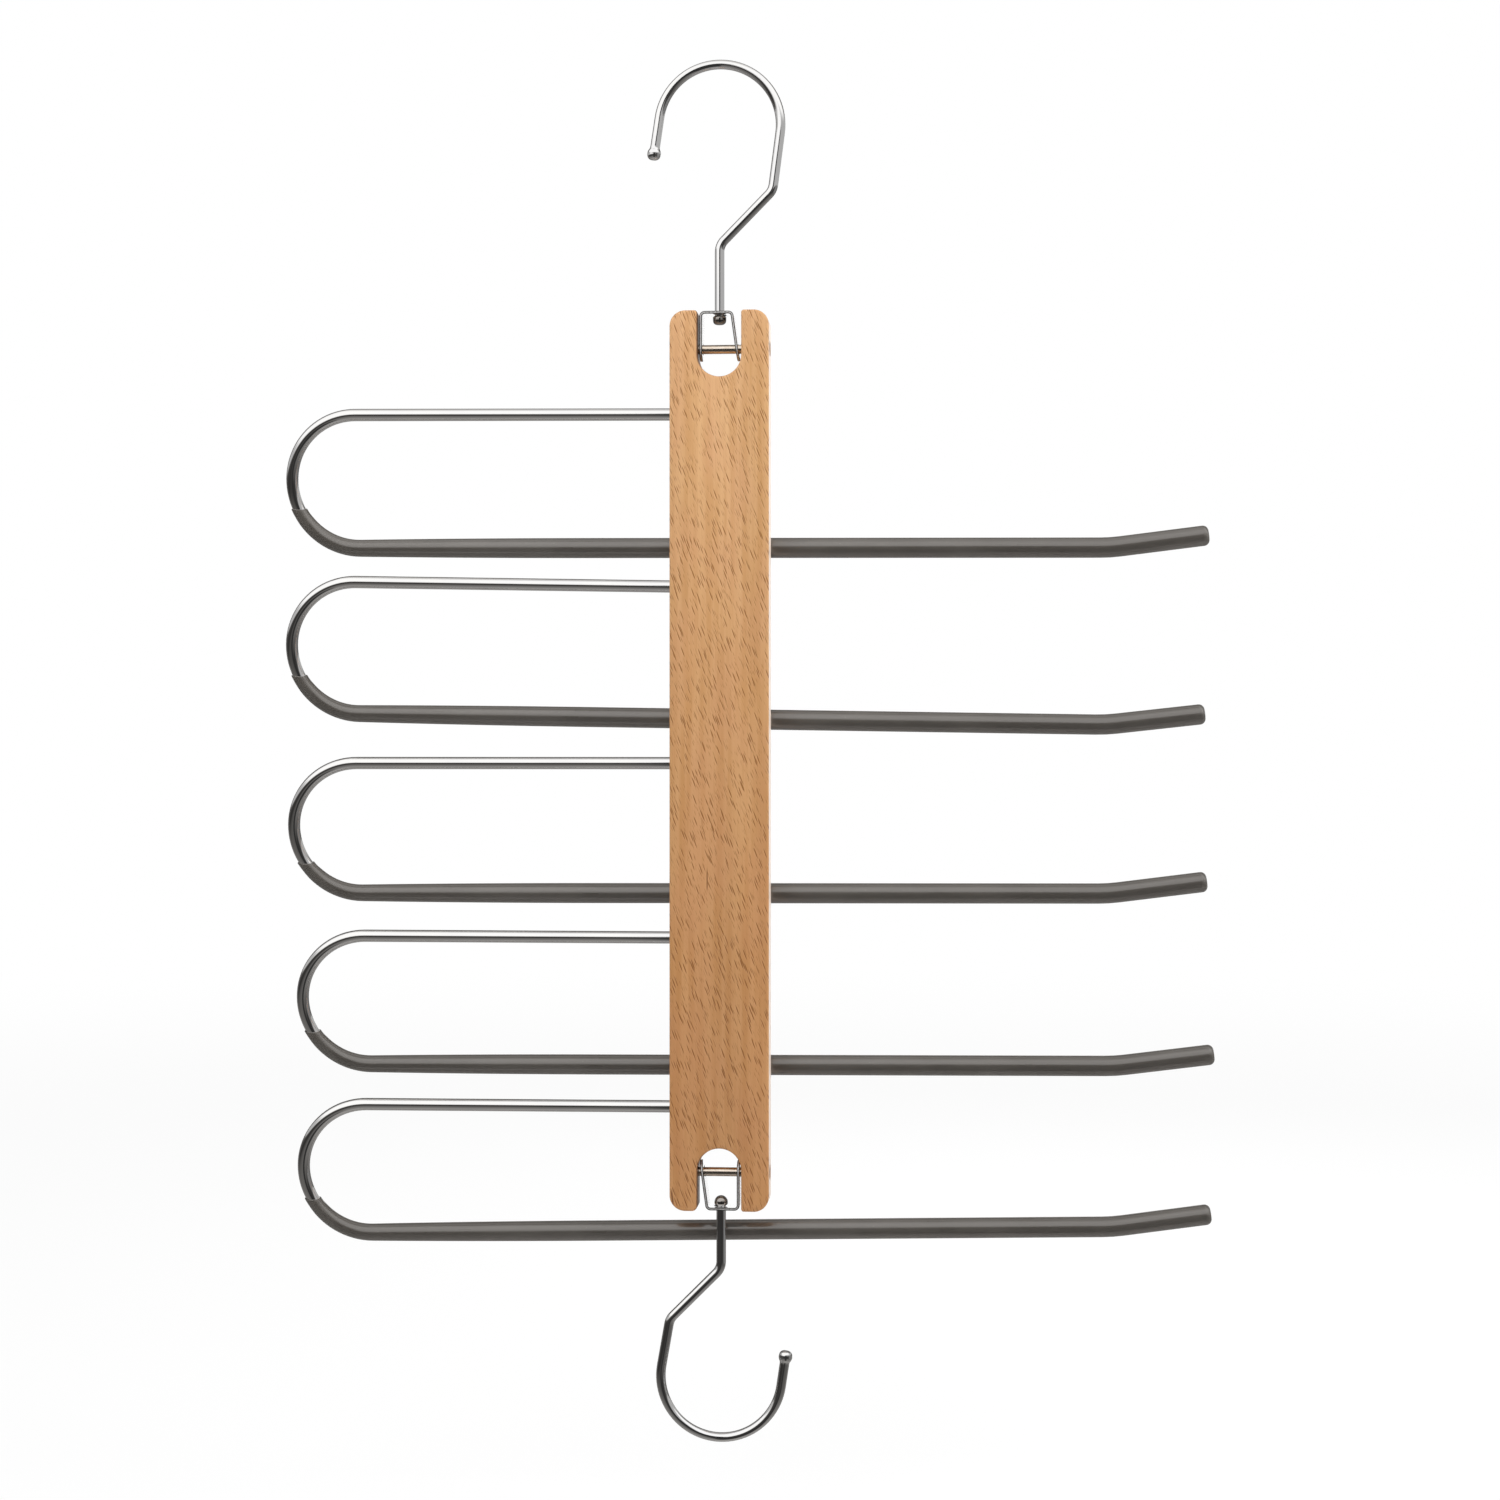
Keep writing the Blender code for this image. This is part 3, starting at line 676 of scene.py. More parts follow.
def clevis_route():
    """The strip's middle line: up the straight leg, over the crossbar and down the splayed leg."""
    middle = STRIP_THICKNESS / 2
    straight_x = -(CLEVIS_WIDTH + CLEVIS_SPLAY) / 2 + middle
    splayed_x = straight_x + CLEVIS_WIDTH - 2 * middle
    crossbar_z = CLEVIS_REACH - middle
    leg_end = STRIP_WIDTH / 2
    straight_end = in_plane(straight_x, -leg_end)
    straight_corner = in_plane(straight_x, crossbar_z)
    splayed_corner = in_plane(splayed_x, crossbar_z)
    slope = in_plane(CLEVIS_SPLAY, -crossbar_z) / crossbar_z
    splayed_end = splayed_corner + slope * (crossbar_z + leg_end)
    route = [(straight_end, Z_AXIS)]
    route += corner(straight_end, straight_corner, splayed_corner, CLEVIS_BEND_RADIUS)
    route += corner(straight_corner, splayed_corner, splayed_end, CLEVIS_BEND_RADIUS)
    route.append((splayed_end, slope.normalized()))
    return route


def bent_along(shape, route):
    """Bends a flat plate, whose +X runs along the route, and keeps its flat place on each vertex."""
    marks = [0.0]
    for (start, _), (end, _) in zip(route, route[1:]):
        marks.append(marks[-1] + (end - start).length)
    for mark in marks[1:-1]:
        parts = shape.verts[:] + shape.edges[:] + shape.faces[:]
        cut = {"plane_co": mark * X_AXIS, "plane_no": X_AXIS, "dist": CUT_TOLERANCE}
        bmesh.ops.bisect_plane(shape, geom=parts, **cut)
    unbent = shape.verts.layers.float_vector.new(UNBENT)
    for vert in shape.verts:
        x, y, height = vert.co
        vert[unbent] = (y, height, x)
        n = max(0, min(len(route) - 2, sum(mark < x for mark in marks) - 1))
        share = (x - marks[n]) / (marks[n + 1] - marks[n])
        (start, first), (end, last) = route[n], route[n + 1]
        along = first.lerp(last, max(0, min(1, share))).normalized()
        vert.co = start + (end - start) * share + y * Y_AXIS + height * along.cross(Y_AXIS)
    bmesh.ops.recalc_face_normals(shape, faces=shape.faces)
    return shape


def make_clevis(end, material):
    """A polished strip with round ends, pierced for the pin and the hook's stem, then bent to a U."""
    route = filled_in(clevis_route(), STRIP_CUT_SPACING)
    length = sum((b[0] - a[0]).length for a, b in zip(route, route[1:]))
    radius = STRIP_WIDTH / 2
    half_turn = [math.pi * n / PIN_SIDES for n in range(PIN_SIDES + 1)]
    outline = [(length - radius + radius * math.sin(a), radius * -math.cos(a)) for a in half_turn]
    outline += [(radius - radius * math.sin(a), radius * math.cos(a)) for a in half_turn]
    crossbar = (CLEVIS_REACH + radius - CLEVIS_BEND_RADIUS) + math.pi / 2 * CLEVIS_BEND_RADIUS
    stem_at = crossbar + (CLEVIS_WIDTH + CLEVIS_SPLAY) / 2 - CLEVIS_BEND_RADIUS - STRIP_THICKNESS / 2
    pin_hole = PIN_DIAMETER / 2 + CLEVIS_HOLE_GAP
    stem_hole = HOOK_WIRE_DIAMETER / 2 + CLEVIS_HOLE_GAP
    pierced = ((radius, pin_hole), (stem_at, stem_hole), (length - radius, pin_hole))
    holes = [circle(x, hole) for x, hole in pierced]
    shape = flat_plate([outline] + holes, STRIP_THICKNESS, STRIP_EDGE_ROUND, STRIP_EDGE_STEPS)
    clevis = new_object(f"{end}_clevis", bent_along(shape, route), end_placing(end))
    dress(clevis, f"{end}_bracket", f"{end}_bracket", material)


def hook_head(size):
    """Stations up the head inside the clevis: a dome, its collar and the step to the wire."""
    radius = HOOK_BALL_DIAMETER / 2
    seat = CLEVIS_REACH - STRIP_THICKNESS - HOOK_HEAD_GAP
    power = 2 / size.squareness
    profile = []
    for n in range(BALL_STEPS + 1):
        angle = math.pi / 2 * n / BALL_STEPS
        below = size.head_rise * math.cos(angle) ** power
        profile.append((seat - HOOK_HEAD_COLLAR - below, radius * math.sin(angle) ** power))
    profile += rounded_end(seat, radius, HOOK_HEAD_ROUND)[:-1]
    profile.append((seat, HOOK_WIRE_DIAMETER / 2))
    return [Station(in_plane(0, z), Z_AXIS, max(r, 0)) for z, r in profile]


def hook_tip(start, along, tail):
    """Stations along the straight tail to the ball at its end, which flares out of the wire."""
    wire = HOOK_WIRE_DIAMETER / 2
    ball = HOOK_BALL_DIAMETER / 2
    first = -ball - TIP_FLARE
    stations = []
    for n in range(TIP_STEPS + 1):
        place = first + (ball - first) * (1 - (1 - n / TIP_STEPS) ** 2)
        power = 2 if place < 0 else TIP_SQUARENESS
        radius = ball * max(0, 1 - abs(place / ball) ** power) ** (1 / power)
        if place < 0:
            spread = math.sqrt((radius - wire) ** 2 + TIP_FLARE**2 / 4)
            radius = (radius + wire + spread) / 2
        stations.append(Station(start + along * (tail + place), along, radius))
    return stations


def make_hook(end, size, material):
    """The bent wire hook, from its head in the clevis round its loop to the ball at its tip."""
    wire = HOOK_WIRE_DIAMETER / 2
    first = in_plane(0, CLEVIS_REACH + size.stem)
    second = first + in_plane(size.bend_offset, size.bend_rise)
    loop = first + in_plane(0, size.bend_rise + size.loop_rise)
    loop_radius = size.loop_inside / 2 + wire
    to_loop = loop - second
    heading = math.atan2(to_loop.z, to_loop.x) - math.asin(loop_radius / to_loop.length)
    meets_loop = second + in_plane(math.cos(heading), math.sin(heading)) * to_loop.length
    head = hook_head(size)
    route = [(head[-1].point, Z_AXIS)]
    route += corner(head[-1].point, first, second, HOOK_BEND_RADIUS)
    route += corner(first, second, meets_loop, HOOK_BEND_RADIUS)
    route += arc(loop, loop_radius, heading - math.pi / 2, math.pi - math.radians(HOOK_TAIL_DEGREES))
    stations = head + [Station(*step, wire) for step in filled_in(route, STRAIGHT_STEP)[1:]]
    stations += hook_tip(*route[-1], size.tail)
    hook = new_object(f"{end}_wire_hook", swept(stations, WIRE_SIDES), end_placing(end))
    dress(hook, f"{end}_hook", f"{end}_hook", material)


def arm_routes(place):
    """The arm's centreline from the board's edge: its bare stretch, and the stretch in the sleeve."""
    radius = ARM_LEG_SPACING / 2
    bend = in_plane(ARM_WIRE_DIAMETER / 2 + radius - place.reach, -radius)
    sleeve_start = math.pi + math.radians(place.sleeve_degrees)
    bar_start = 3 * math.pi / 2 + math.radians(place.lift_degrees)
    bare = [(in_plane(0, 0), -X_AXIS)] + arc(bend, radius, math.pi / 2, sleeve_start)
    sleeved = arc(bend, radius, sleeve_start, bar_start)
    start, along = sleeved[-1]
    rise = math.radians(place.lift_degrees + TIP_RISE_DEGREES)
    tip_along = in_plane(math.cos(rise), math.sin(rise))
    tip_start = start + along * (place.length - place.reach - TIP_LENGTH - start.x)
    tip = tip_start + tip_along * TIP_LENGTH
    sleeved += corner(start, tip_start, tip, TIP_BEND_RADIUS)
    sleeved.append((tip, tip_along))
    return filled_in(bare, STRAIGHT_STEP), filled_in(sleeved, STRAIGHT_STEP)


def make_arm_wire(number, place, material):
    """The bent wire of an arm, from inside the board to just short of its sleeve's closed end."""
    wire = ARM_WIRE_DIAMETER / 2
    bare, sleeved = arm_routes(place)
    tip, along = sleeved[-1]
    end = tip - along * (SLEEVE_END_THICKNESS + SLEEVE_BORE_GAP)
    inner = in_plane(ARM_DEPTH_IN_BOARD - BORE_GAP, 0)
    stations = [Station(inner, -X_AXIS, 0)]
    stations += [Station(*step, wire) for step in [(inner, -X_AXIS)] + bare + sleeved[1:-1]]
    stations += [Station(end, along, wire), Station(end, along, 0)]
    arm = new_object(f"arm_{number}_bent_wire", swept(stations, WIRE_SIDES), swung_placing(number))
    dress(arm, f"arm_{number}_wire", f"arm_{number}", material)


def levelled_mouth(shape, mouth, along):
    """Leans the sleeve's cut end until it is level, easing off along the bend."""
    slant = -along.x / along.z
    for vert in shape.verts:
        offset = vert.co - mouth
        near = max(0, 1 - offset.dot(along) / SLEEVE_MOUTH_SETTLES)
        if offset.length < SLEEVE_DIAMETER + SLEEVE_MOUTH_SETTLES:
            vert.co += along * near * slant * offset.dot(in_plane(-along.z, along.x))
    return shape


def make_sleeve(number, place, material):
    """The grey tube over the arm's bar: open on the bend, closed and rounded at the tip."""
    outer = SLEEVE_DIAMETER / 2
    bore = ARM_WIRE_DIAMETER / 2 + SLEEVE_BORE_GAP
    _, sleeved = arm_routes(place)
    tip, along = sleeved[-1]
    bore_end = tip - along * SLEEVE_END_THICKNESS
    inside = sleeved[:-1] + [(bore_end, along)]
    stations = [Station(bore_end, along, 0)] + [Station(*step, bore) for step in inside[::-1]]
    mouth, mouth_along = sleeved[0]
    rim = rounded_end(0, SLEEVE_MOUTH_DIAMETER / 2, SLEEVE_MOUTH_ROUND, -1)[:-1]
    for depth, radius in rim[::-1]:
        stations.append(Station(mouth + mouth_along * depth, mouth_along, radius))
    stations += widening(sleeved[:-1], SLEEVE_MOUTH_DIAMETER / 2, outer, SLEEVE_WIDENING)[1:]
    closed = rounded_end(0, outer, SLEEVE_END_ROUND)
    stations += [Station(tip + along * back, along, radius) for back, radius in closed]
    shape = levelled_mouth(swept(stations, WIRE_SIDES), mouth, mouth_along)
    sleeve = new_object(f"arm_{number}_grey_sleeve", shape, swung_placing(number))
    dress(sleeve, f"arm_{number}_sleeve", f"arm_{number}", material)


# Materials


def colour(text):
    """A colour written as six hexadecimal digits of sRGB, as linear values."""
    values = [int(text[n : n + 2], 16) / 255 for n in (0, 2, 4)]
    linear = [v / 12.92 if v <= 0.04045 else ((v + 0.055) / 1.055) ** 2.4 for v in values]
    return (*linear, 1.0)


def grey(tone):
    return (tone, tone, tone, 1.0)


class Graph:
    """The nodes of a material or the world, with short ways to add and link them."""

    def __init__(self, owner, **shader_values):
        owner.use_nodes = True
        self.owner = owner
        self.tree = owner.node_tree
        self.shader = self.tree.nodes.get("Principled BSDF")
        for socket, value in shader_values.items():
            self.shader.inputs[socket.replace("_", " ")].default_value = value

    def add(self, kind, inputs, **settings):
        """A new node, with each input linked to a socket or set to a value."""
        node = self.tree.nodes.new(f"ShaderNode{kind}")
        for name, value in settings.items():
            setattr(node, name, value)
        for name, value in inputs.items():
            if isinstance(value, bpy.types.NodeSocket):
                self.tree.links.new(value, node.inputs[name])
            else:
                node.inputs[name].default_value = value
        return node

    def place(self):
        return self.add("TexCoord", {}).outputs["Object"]

    def unbent(self):
        return self.add("Attribute", {}, attribute_name=UNBENT).outputs["Vector"]

    def facing(self):
        return self.add("TexCoord", {}).outputs["Normal"]

    def axes(self, vector):
        return self.add("SeparateXYZ", {"Vector": vector}).outputs

    def rotated(self, vector, angle):
        inputs = {"Vector": vector, "Axis": Y_AXIS, "Angle": angle}
        return self.add("VectorRotate", inputs).outputs["Vector"]

    def stretched(self, vector, sizes):
        """The vector in units of these sizes, so that a texture of scale 1 has features that big."""
        inputs = {0: vector, 1: [1 / size for size in sizes]}
        return self.add("VectorMath", inputs, operation="MULTIPLY").outputs["Vector"]

    def noise(self, vector, pattern):
        inputs = {"Vector": self.stretched(vector, pattern.sizes), "Scale": 1.0}
        inputs |= {"Detail": pattern.detail, "Roughness": pattern.rough}
        return self.add("TexNoise", inputs).outputs["Fac"]

    def spots(self, vector, sizes):
        """The distance to the nearest of scattered spots, and a random value for each spot."""
        inputs = {"Vector": self.stretched(vector, sizes), "Scale": 1.0}
        outputs = self.add("TexVoronoi", inputs).outputs
        return outputs["Distance"], self.axes(outputs["Color"])["X"]

    def math(self, operation, first, second=0.0, third=0.0):
        return self.add("Math", {0: first, 1: second, 2: third}, operation=operation).outputs["Value"]

    def product(self, first, *others):
        for other in others:
            first = self.math("MULTIPLY", first, other)
        return first

    def between(self, value, low, high, least=0.0, most=1.0):
        """A smooth step from least to most as the value goes from low to high."""
        inputs = {"Value": value, "From Min": low, "From Max": high, "To Min": least, "To Max": most}
        node = self.add("MapRange", inputs, interpolation_type="SMOOTHSTEP")
        return node.outputs["Result"]

    def before(self, value, edge, reach):
        """A smooth step between two places that lie these distances before an edge."""
        return self.between(value, edge - reach[0], edge - reach[1])

    def mix(self, share, first, second, blend="MIX"):
        """Two colours mixed, through the colour sockets of a Mix node."""
        inputs = {0: share, 6: first, 7: second}
        return self.add("Mix", inputs, data_type="RGBA", blend_type=blend).outputs[2]

    def over(self, tone, top, *shares):
        """A tone with another laid over it, as strongly as the product of these shares."""
        return self.mix(self.product(*shares), tone, colour(top))

    def layered(self, vector, base, layers):
        """A base tone with layers over it, and the noise of each layer."""
        tone = colour(base)
        noises = [self.noise(vector, layer.pattern) for layer in layers]
        for layer, noise in zip(layers, noises):
            tone = self.over(tone, layer.tone, self.between(noise, *layer.fade))
        return tone, noises

    def seen_directly(self):
        """1 for camera, glossy and transmission rays, which show the background, and 0 for the rest."""
        rays = self.add("LightPath", {}).outputs
        seen = rays["Is Camera Ray"]
        for kind in ("Is Glossy Ray", "Is Transmission Ray"):
            seen = self.math("MAXIMUM", seen, rays[kind])
        return seen

    def paint(self, tone, roughness, height, depth, strength):
        """Links the finished colour, roughness and height to the shader."""
        bump = self.add("Bump", {"Height": height, "Distance": depth, "Strength": strength})
        finished = {"Base Color": tone, "Roughness": roughness, "Normal": bump.outputs["Normal"]}
        for socket, value in finished.items():
            self.tree.links.new(value, self.shader.inputs[socket])
        return self.owner

    def show(self, output, shader):
        self.tree.links.new(shader, self.tree.nodes[output].inputs["Surface"])


def new_graph(name, **shader_values):
    return Graph(bpy.data.materials.new(name), **shader_values)


def flecks(wood, place, kind):
    """Scattered slim rays of darker wood, and the lit far side of the shallow pit at each."""
    distance, chance = wood.spots(place, kind.sizes)
    share = wood.between(chance, *FLECK_CHANCE)
    offset = (kind.sizes[0] * FLECK_LIT_OFFSET, 0, 0)
    beside = wood.add("VectorMath", {0: place, 1: offset}, operation="ADD").outputs["Vector"]
    beside_distance, _ = wood.spots(beside, kind.sizes)
    dark = wood.product(wood.between(distance, *kind.reach), share)
    return dark, wood.product(wood.between(beside_distance, *kind.reach), share)


def flecked(wood, tone, place):
    """The tone with all its flecks, and the share of the long ones for the other channels."""
    slanted = wood.rotated(place, math.radians(FLECK_SLANT_DEGREES))
    marks = [flecks(wood, slanted, kind) for kind in FLECKS]
    for kind, (_, lit) in zip(FLECKS, marks):
        tone = wood.over(tone, FLECK_LIT_TONE, lit, kind.lit_strength)
    for kind, (dark, _) in zip(FLECKS, marks):
        tone = wood.over(tone, kind.tone, dark, kind.strength)
    return tone, marks[0][0]


def end_grained(wood, tone, place, facing):
    """Darker, ringed wood where the board's surface looks up or down."""
    ends = wood.between(wood.math("ABSOLUTE", facing["Z"]), *END_GRAIN_FACING)
    rings = wood.between(wood.noise(place, END_RINGS.pattern), *END_RINGS.fade)
    tone = wood.over(tone, END_GRAIN_TONE, ends, END_GRAIN_STRENGTH)
    return wood.over(tone, END_RINGS.tone, ends, rings)


def edge_worn_and_highlit(wood, tone, place, sides, high):
    """Paler, scuffed wood along the board's long edges: real wear, and a painted highlight on their
    rounding.
    """
    off_middle = [wood.math("ABSOLUTE", sides[axis]) for axis in (0, 1)]
    near = [wood.before(value, edge, WORN_AND_HIGHLIT_REACH) for value, edge in zip(off_middle, high)]
    scuffs = wood.between(wood.noise(place, WORN_AND_HIGHLIT_SCUFFS.pattern), *WORN_AND_HIGHLIT_SCUFFS.fade)
    return wood.over(tone, WORN_AND_HIGHLIT_SCUFFS.tone, *near, scuffs, WORN_AND_HIGHLIT_STRENGTH)


def streaked(wood, tone, sides, streak):
    """The tone with one thin dark streak on the board's front."""
    middle = (streak.top + streak.bottom) / 2
    half = (streak.top - streak.bottom) / 2
    down = wood.math("SUBTRACT", middle, sides["Z"])
    leaning = wood.math("MULTIPLY_ADD", down, streak.lean, streak.x)
    off = wood.math("ABSOLUTE", wood.math("SUBTRACT", sides["X"], leaning))
    narrow = wood.between(off, streak.width, STREAK_FULL_WIDTH * streak.width)
    reach = wood.between(wood.math("ABSOLUTE", down), half, STREAK_FULL_LENGTH * half)
    front = wood.between(sides["Y"], *STREAK_DEPTH)
    return wood.over(tone, streak.tone, narrow, reach, front, streak.strength)


def right_sided(wood, tone, facing, sides, right):
    """A painted sheen on the board's right side at a grazing view, and painted shade on its slots' left
    walls.
    """
    rightward = wood.between(facing["X"], *RIGHT_FACING)
    outside = wood.before(sides["X"], right, SIDE_PAINTED_SHEEN_REACH)
    view = wood.add("LayerWeight", {}).outputs["Facing"]
    grazing = wood.between(view, *SIDE_PAINTED_SHEEN_GRAZING)
    # Painted sheen: the right side's outer face pales at a grazing view
    tone = wood.over(tone, SIDE_PAINTED_SHEEN_TONE, rightward, outside, grazing, SIDE_PAINTED_SHEEN_STRENGTH)
    # Painted shade on the slots' left walls, which lie in shadow
    inside = wood.before(sides["X"], right, SLOT_WALL_PAINTED_SHADE_REACH)
    return wood.over(tone, SLOT_WALL_PAINTED_SHADE_TONE, rightward, inside, SLOT_WALL_PAINTED_SHADE_STRENGTH)


def beech():
    """Lacquered steamed beech: bands, grain and flecks, end grain, worn edges with a painted highlight,
    painted shade towards the bottom, a painted sheen on the right side and painted shade on the slot
    walls.
    """
    wood = new_graph("beech_lacquered", **BEECH_COAT)
    place = wood.place()
    sides = wood.axes(place)
    facing = wood.axes(wood.facing())
    low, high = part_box("beech_board")
    tone, (*_, grain) = wood.layered(place, BEECH_TONE, BEECH_LAYERS)
    tone, fleck = flecked(wood, tone, place)
    tone = end_grained(wood, tone, place, facing)
    tone = edge_worn_and_highlit(wood, tone, place, sides, high)
    for streak in STREAKS:
        tone = streaked(wood, tone, sides, streak)
    # Painted shade: the colour darkens and warms towards the board's bottom, where less light falls
    down = wood.between(sides["Z"], high.z, low.z)
    tone = wood.mix(1.0, tone, wood.mix(down, BEECH_PAINTED_SHADE_TOP, BEECH_PAINTED_SHADE_BOTTOM), "MULTIPLY")
    tone = right_sided(wood, tone, facing, sides, high.x)
    polish = wood.between(wood.noise(place, BEECH_POLISH), *BEECH_ROUGHNESS)
    roughness = wood.math("MULTIPLY_ADD", fleck, FLECK_ROUGHNESS, polish)
    height = wood.math("MULTIPLY_ADD", fleck, FLECK_HEIGHT, wood.product(grain, GRAIN_HEIGHT))
    return wood.paint(tone, roughness, height, *BEECH_RELIEF)


def chrome():
    """Bright chrome on drawn wire: faint lines along it, uneven polish and a duller formed head,
    darkened too by painted shade inside the clevis.
    """
    metal = new_graph("chrome_on_wire", Metallic=1.0)
    unbent = metal.unbent()
    tone, (patches, lines) = metal.layered(unbent, CHROME_TONE, CHROME_LAYERS)
    along = metal.axes(unbent)["Z"]
    # The head: duller as formed, and darker as painted shade inside the clevis
    formed = metal.between(along, HOOK_HEAD_LENGTH, HOOK_HEAD_LENGTH - HOOK_HEAD_FADE)
    tone = metal.over(tone, HOOK_HEAD_DULL_AND_SHADED_TONE, formed)
    roughness = metal.between(patches, *CHROME_ROUGHNESS)
    height = metal.math("MULTIPLY_ADD", lines, CHROME_LINE_HEIGHT, patches)
    return metal.paint(tone, roughness, height, *CHROME_RELIEF)


def plated_strip():
    """Polished plated strip with duller, streaked sheared edges, bordered by a broken dark rim of
    painted shade.
    """
    metal = new_graph("polished_strip", Metallic=1.0)
    unbent = metal.unbent()
    tone, (lines,) = metal.layered(unbent, STRIP_TONE, STRIP_LAYERS)
    from_middle = metal.math("ABSOLUTE", metal.axes(unbent)["Y"])
    half = STRIP_THICKNESS / 2
    sheared = metal.before(from_middle, half, SHEARED_REACH)
    streaks = metal.noise(unbent, SHEARED_STREAKS.pattern)
    tone = metal.over(tone, SHEARED_TONE, sheared)
    streaky = metal.between(streaks, *SHEARED_STREAKS.fade)
    tone = metal.over(tone, SHEARED_STREAKS.tone, sheared, streaky)
    # Painted shade: a dark, broken line along the strip's rounded edges
    rim = [metal.before(from_middle, half, reach) for reach in (RIM_SHADE_INNER_REACH, RIM_SHADE_OUTER_REACH)]
    tone = metal.over(tone, RIM_PAINTED_SHADE_TONE, *rim, metal.between(streaks, *RIM_SHADE_BREAKS))
    polish = metal.between(lines, *STRIP_ROUGHNESS)
    roughness = metal.math("MULTIPLY_ADD", sheared, SHEARED_ROUGHNESS, polish)
    edge_streaks = metal.product(streaks, sheared)
    height = metal.math("MULTIPLY_ADD", edge_streaks, SHEARED_STREAK_HEIGHT, lines)
    return metal.paint(tone, roughness, height, *STRIP_RELIEF)


def bare_steel():
    """Bare drawn steel with fine turning marks and a warm cast."""
    metal = new_graph("bare_drawn_steel", Metallic=1.0)
    tone, (patches, marks) = metal.layered(metal.unbent(), STEEL_TONE, STEEL_LAYERS)
    return metal.paint(tone, metal.between(patches, *STEEL_ROUGHNESS), marks, *STEEL_RELIEF)


def grey_plastic():
    """Warm dark grey soft plastic: satin, with faint extrusion lines and a fine grain."""
    plastic = new_graph("grey_soft_plastic", **PLASTIC_GLOSS)
    unbent = plastic.unbent()
    tone, (cloud, lines) = plastic.layered(unbent, PLASTIC_TONE, PLASTIC_LAYERS)
    distance, chance = plastic.spots(unbent, DUST_SPACING)
    dust = plastic.between(distance, *DUST_REACH), plastic.between(chance, *DUST_CHANCE)
    tone = plastic.over(tone, DUST_TONE, *dust, DUST_STRENGTH)
    satin = plastic.between(cloud, *PLASTIC_ROUGHNESS)
    roughness = plastic.math("MULTIPLY_ADD", lines, PLASTIC_LINE_ROUGHNESS, satin)
    relief = plastic.product(lines, PLASTIC_LINE_HEIGHT)
    skin = plastic.noise(unbent, PLASTIC_SKIN)
    height = plastic.math("MULTIPLY_ADD", skin, PLASTIC_SKIN_HEIGHT, relief)
    return plastic.paint(tone, roughness, height, *PLASTIC_RELIEF)


# Studio


def make_floor():
    """A plain pale floor that shows white and keeps a soft shadow of the hanger."""
    graph = new_graph("pale_floor", Base_Color=colour(FLOOR_TONE), Roughness=FLOOR_ROUGHNESS)
    distance = graph.add("VectorMath", {0: graph.place()}, operation="LENGTH").outputs["Value"]
    white = graph.between(distance, *FLOOR_FADE, FLOOR_WHITE_NEAR, 1.0)
    share = graph.product(white, graph.seen_directly())
    glow = graph.add("Emission", {})
    shown = graph.add("MixShader", {0: share, 1: graph.shader.outputs[0], 2: glow.outputs[0]})
    graph.show("Material Output", shown.outputs[0])
    shape = bmesh.new()
    bmesh.ops.create_grid(shape, x_segments=1, y_segments=1, size=FLOOR_SIZE / 2)
    floor = new_object("floor", shape, Matrix())
    floor.location.z = cad_box[0].z - FLOOR_BELOW_OBJECT
    floor.data.materials.append(graph.owner)
    floor.visible_glossy = False


def make_world():
    """White where it is seen, and soft light from above with less from below where it isn't."""
    world = bpy.data.worlds.new("studio")
    bpy.context.scene.world = world
    air = Graph(world)
    white = air.tree.nodes["Background"]
    white.inputs["Color"].default_value = grey(1)
    height = air.axes(air.add("TexCoord", {}).outputs["Generated"])["Z"]
    level = air.between(height, *WORLD_FADE, WORLD_BOTTOM, WORLD_TOP)
    soft = air.add("Background", {"Strength": level})
    shown = air.add("MixShader", {0: air.seen_directly(), 1: soft.outputs[0], 2: white.outputs[0]})
    air.show("World Output", shown.outputs[0])


def make_lamps():
    """Soft square lamps that light the hanger and don't show in its gloss."""
    for place in LAMPS:
        light = bpy.data.lights.new(place.name, "AREA")
        light.shape = "RECTANGLE"
        light.size, light.size_y = place.size
        light.energy = place.power
        lamp = bpy.data.objects.new(place.name, light)
        lamp.location = place.location
        aim = Vector(place.target) - Vector(place.location)
        lamp.rotation_euler = aim.to_track_quat("-Z", "Y").to_euler()
        lamp.visible_glossy = False
        bpy.context.scene.collection.objects.link(lamp)


def ramp(graph, value, stops):
    """A colour that follows a value through stops of place and tone, a little warm where it is dark."""
    node = graph.add("ValToRGB", {0: value})
    elements = node.color_ramp.elements
    while len(elements) < len(stops):
        elements.new(0.5)
    for element, (place, tone) in zip(elements, stops):
        element.position = place
        cast = DOME_WARMTH * (1 - min(1, tone))
        element.color = (tone, tone * (1 - DOME_WARMTH_IN_GREEN * cast), tone * (1 - cast), 1)
    return node.outputs["Color"]


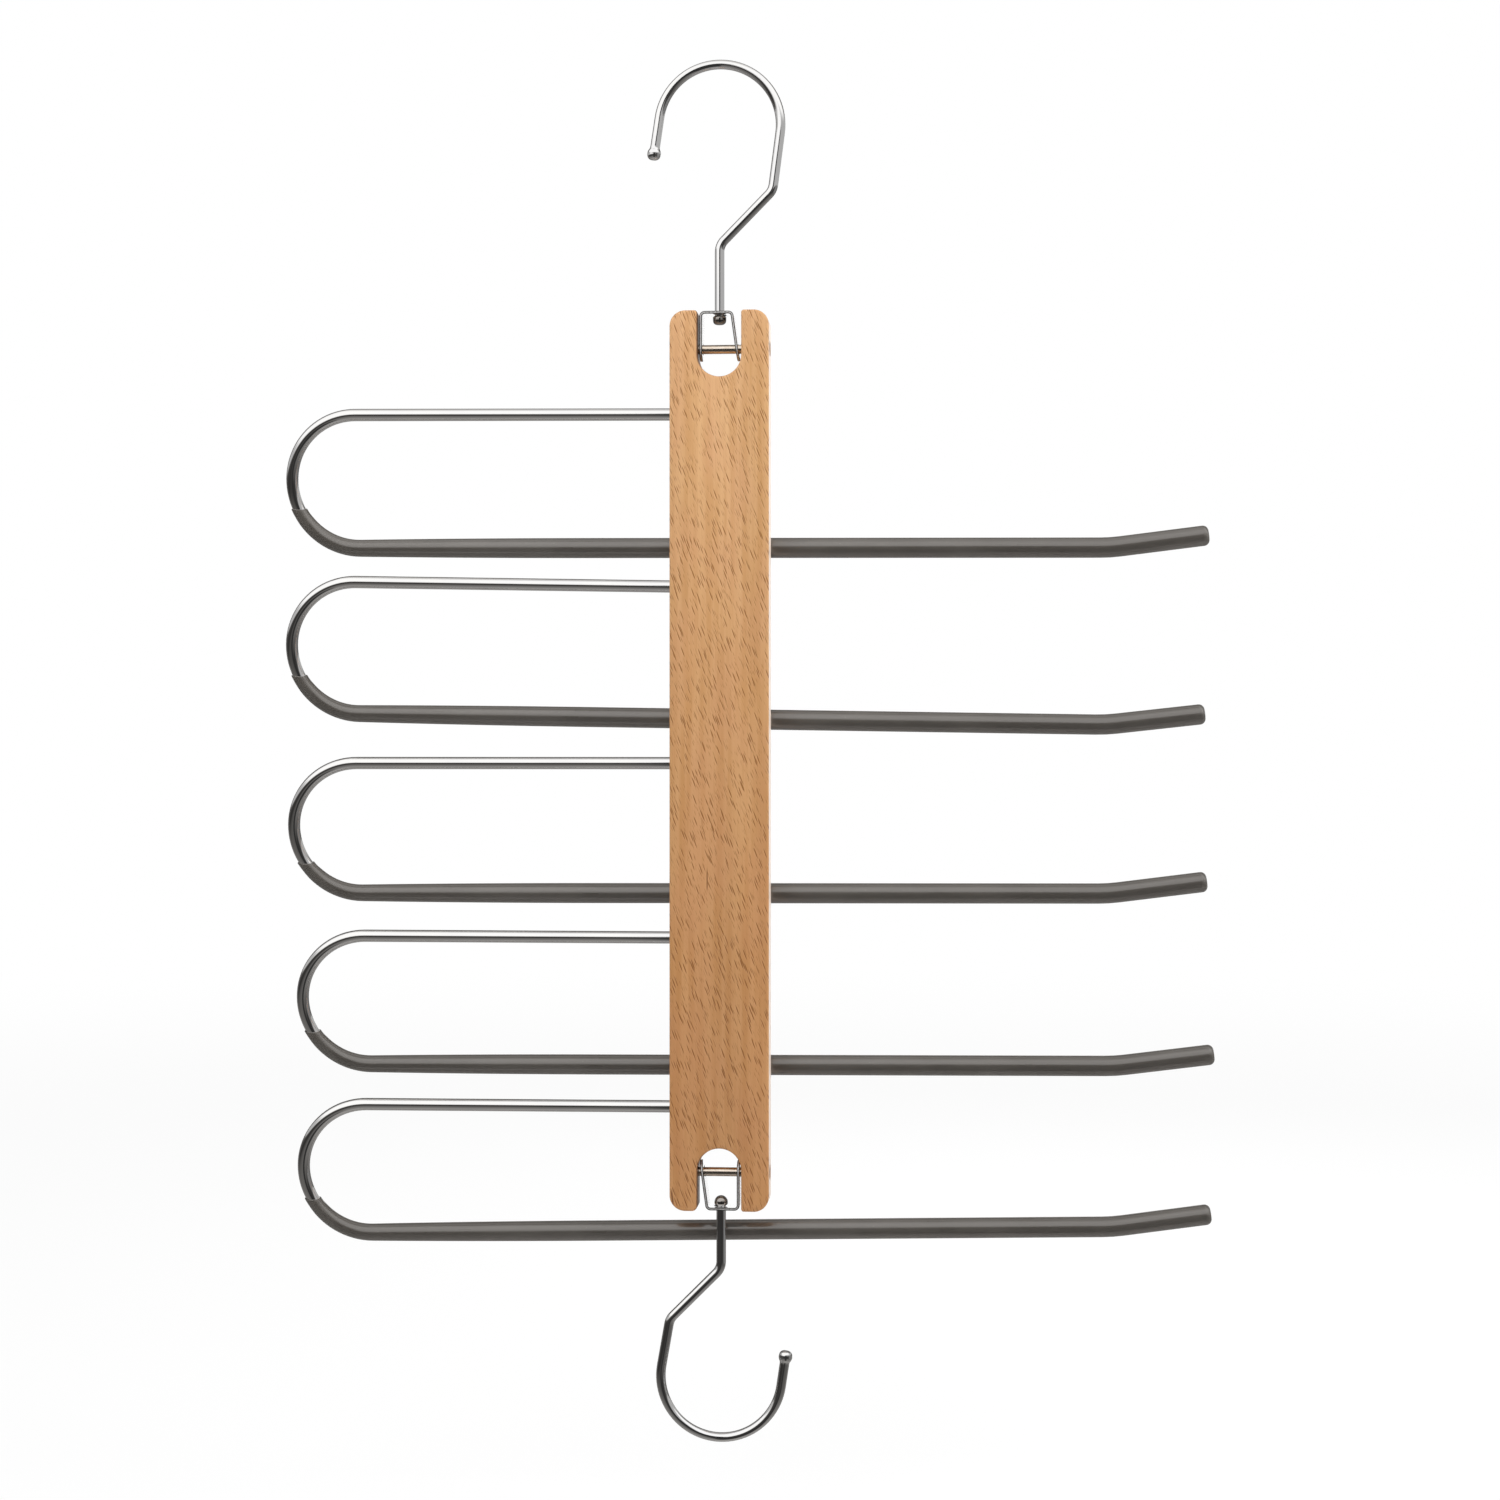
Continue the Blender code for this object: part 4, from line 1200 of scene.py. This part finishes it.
def dome_tone(graph):
    """The studio's tone in each direction: by height, ahead and behind, and then its patches."""
    toward = graph.add("VectorMath", {0: graph.place()}, operation="NORMALIZE").outputs["Vector"]
    axes = graph.axes(toward)
    measures = {
        "right": axes["X"],
        "up": axes["Z"],
        "ahead": graph.math("MULTIPLY", axes["Y"], -1.0),
        "off level": graph.math("ABSOLUTE", axes["Z"]),
        "off stand": graph.math("ABSOLUTE", graph.math("SUBTRACT", axes["X"], DOME_STAND_X)),
    }
    height = graph.math("MULTIPLY_ADD", axes["Z"], 0.5, 0.5)
    behind = graph.between(measures["ahead"], *DOME_BEHIND_FADE)
    tone = graph.mix(behind, ramp(graph, height, DOME_AHEAD), ramp(graph, height, DOME_BEHIND))
    for patch_tone, *edges in DOME_PATCHES.values():
        shares = [graph.between(measures[name], first, last) for name, first, last in edges]
        tone = graph.mix(graph.product(*shares), tone, grey(patch_tone))
    return tone


def make_dome():
    """A glowing dome that only the gloss sees, as the metal in the photograph shows its studio."""
    graph = new_graph("studio_round_about")
    glow = graph.add("Emission", {"Color": dome_tone(graph)})
    graph.show("Material Output", glow.outputs[0])
    shape = bmesh.new()
    around, upward = STUDIO_SEGMENTS
    bmesh.ops.create_uvsphere(shape, u_segments=around, v_segments=upward, radius=STUDIO_RADIUS)
    dome = new_object("studio_dome", shape, Matrix())
    dome.location.z = CAMERA_TARGET.z
    dome.data.materials.append(graph.owner)
    for rays in ("camera", "diffuse", "shadow", "transmission"):
        setattr(dome, f"visible_{rays}", False)


def make_camera():
    """The photograph's view: level, from a little right of straight ahead."""
    camera = bpy.data.objects.new("camera", bpy.data.cameras.new("camera"))
    camera.data.sensor_width = CAMERA_SENSOR_MM
    camera.data.lens = CAMERA_LENS_MM
    angle = math.radians(CAMERA_AZIMUTH_DEGREES)
    back = Vector((math.sin(angle), -math.cos(angle), 0))
    camera.location = CAMERA_TARGET + back * CAMERA_DISTANCE
    camera.rotation_euler = (-back).to_track_quat("-Z", "Y").to_euler()
    bpy.context.scene.collection.objects.link(camera)
    bpy.context.scene.camera = camera
    bpy.context.scene.view_settings.view_transform = "Standard"


def main():
    make_camera()
    wood = beech()
    wire = chrome()
    strip = plated_strip()
    steel = bare_steel()
    plastic = grey_plastic()

    make_board(wood)
    make_pins(steel)
    make_nails(steel)
    for end, size in (("top", TOP_HOOK), ("bottom", BOTTOM_HOOK)):
        make_clevis(end, strip)
        make_hook(end, size, wire)
    for number, place in enumerate(ARMS, start=1):
        make_arm_wire(number, place, wire)
        make_sleeve(number, place, plastic)

    make_floor()
    make_world()
    make_lamps()
    make_dome()


main()
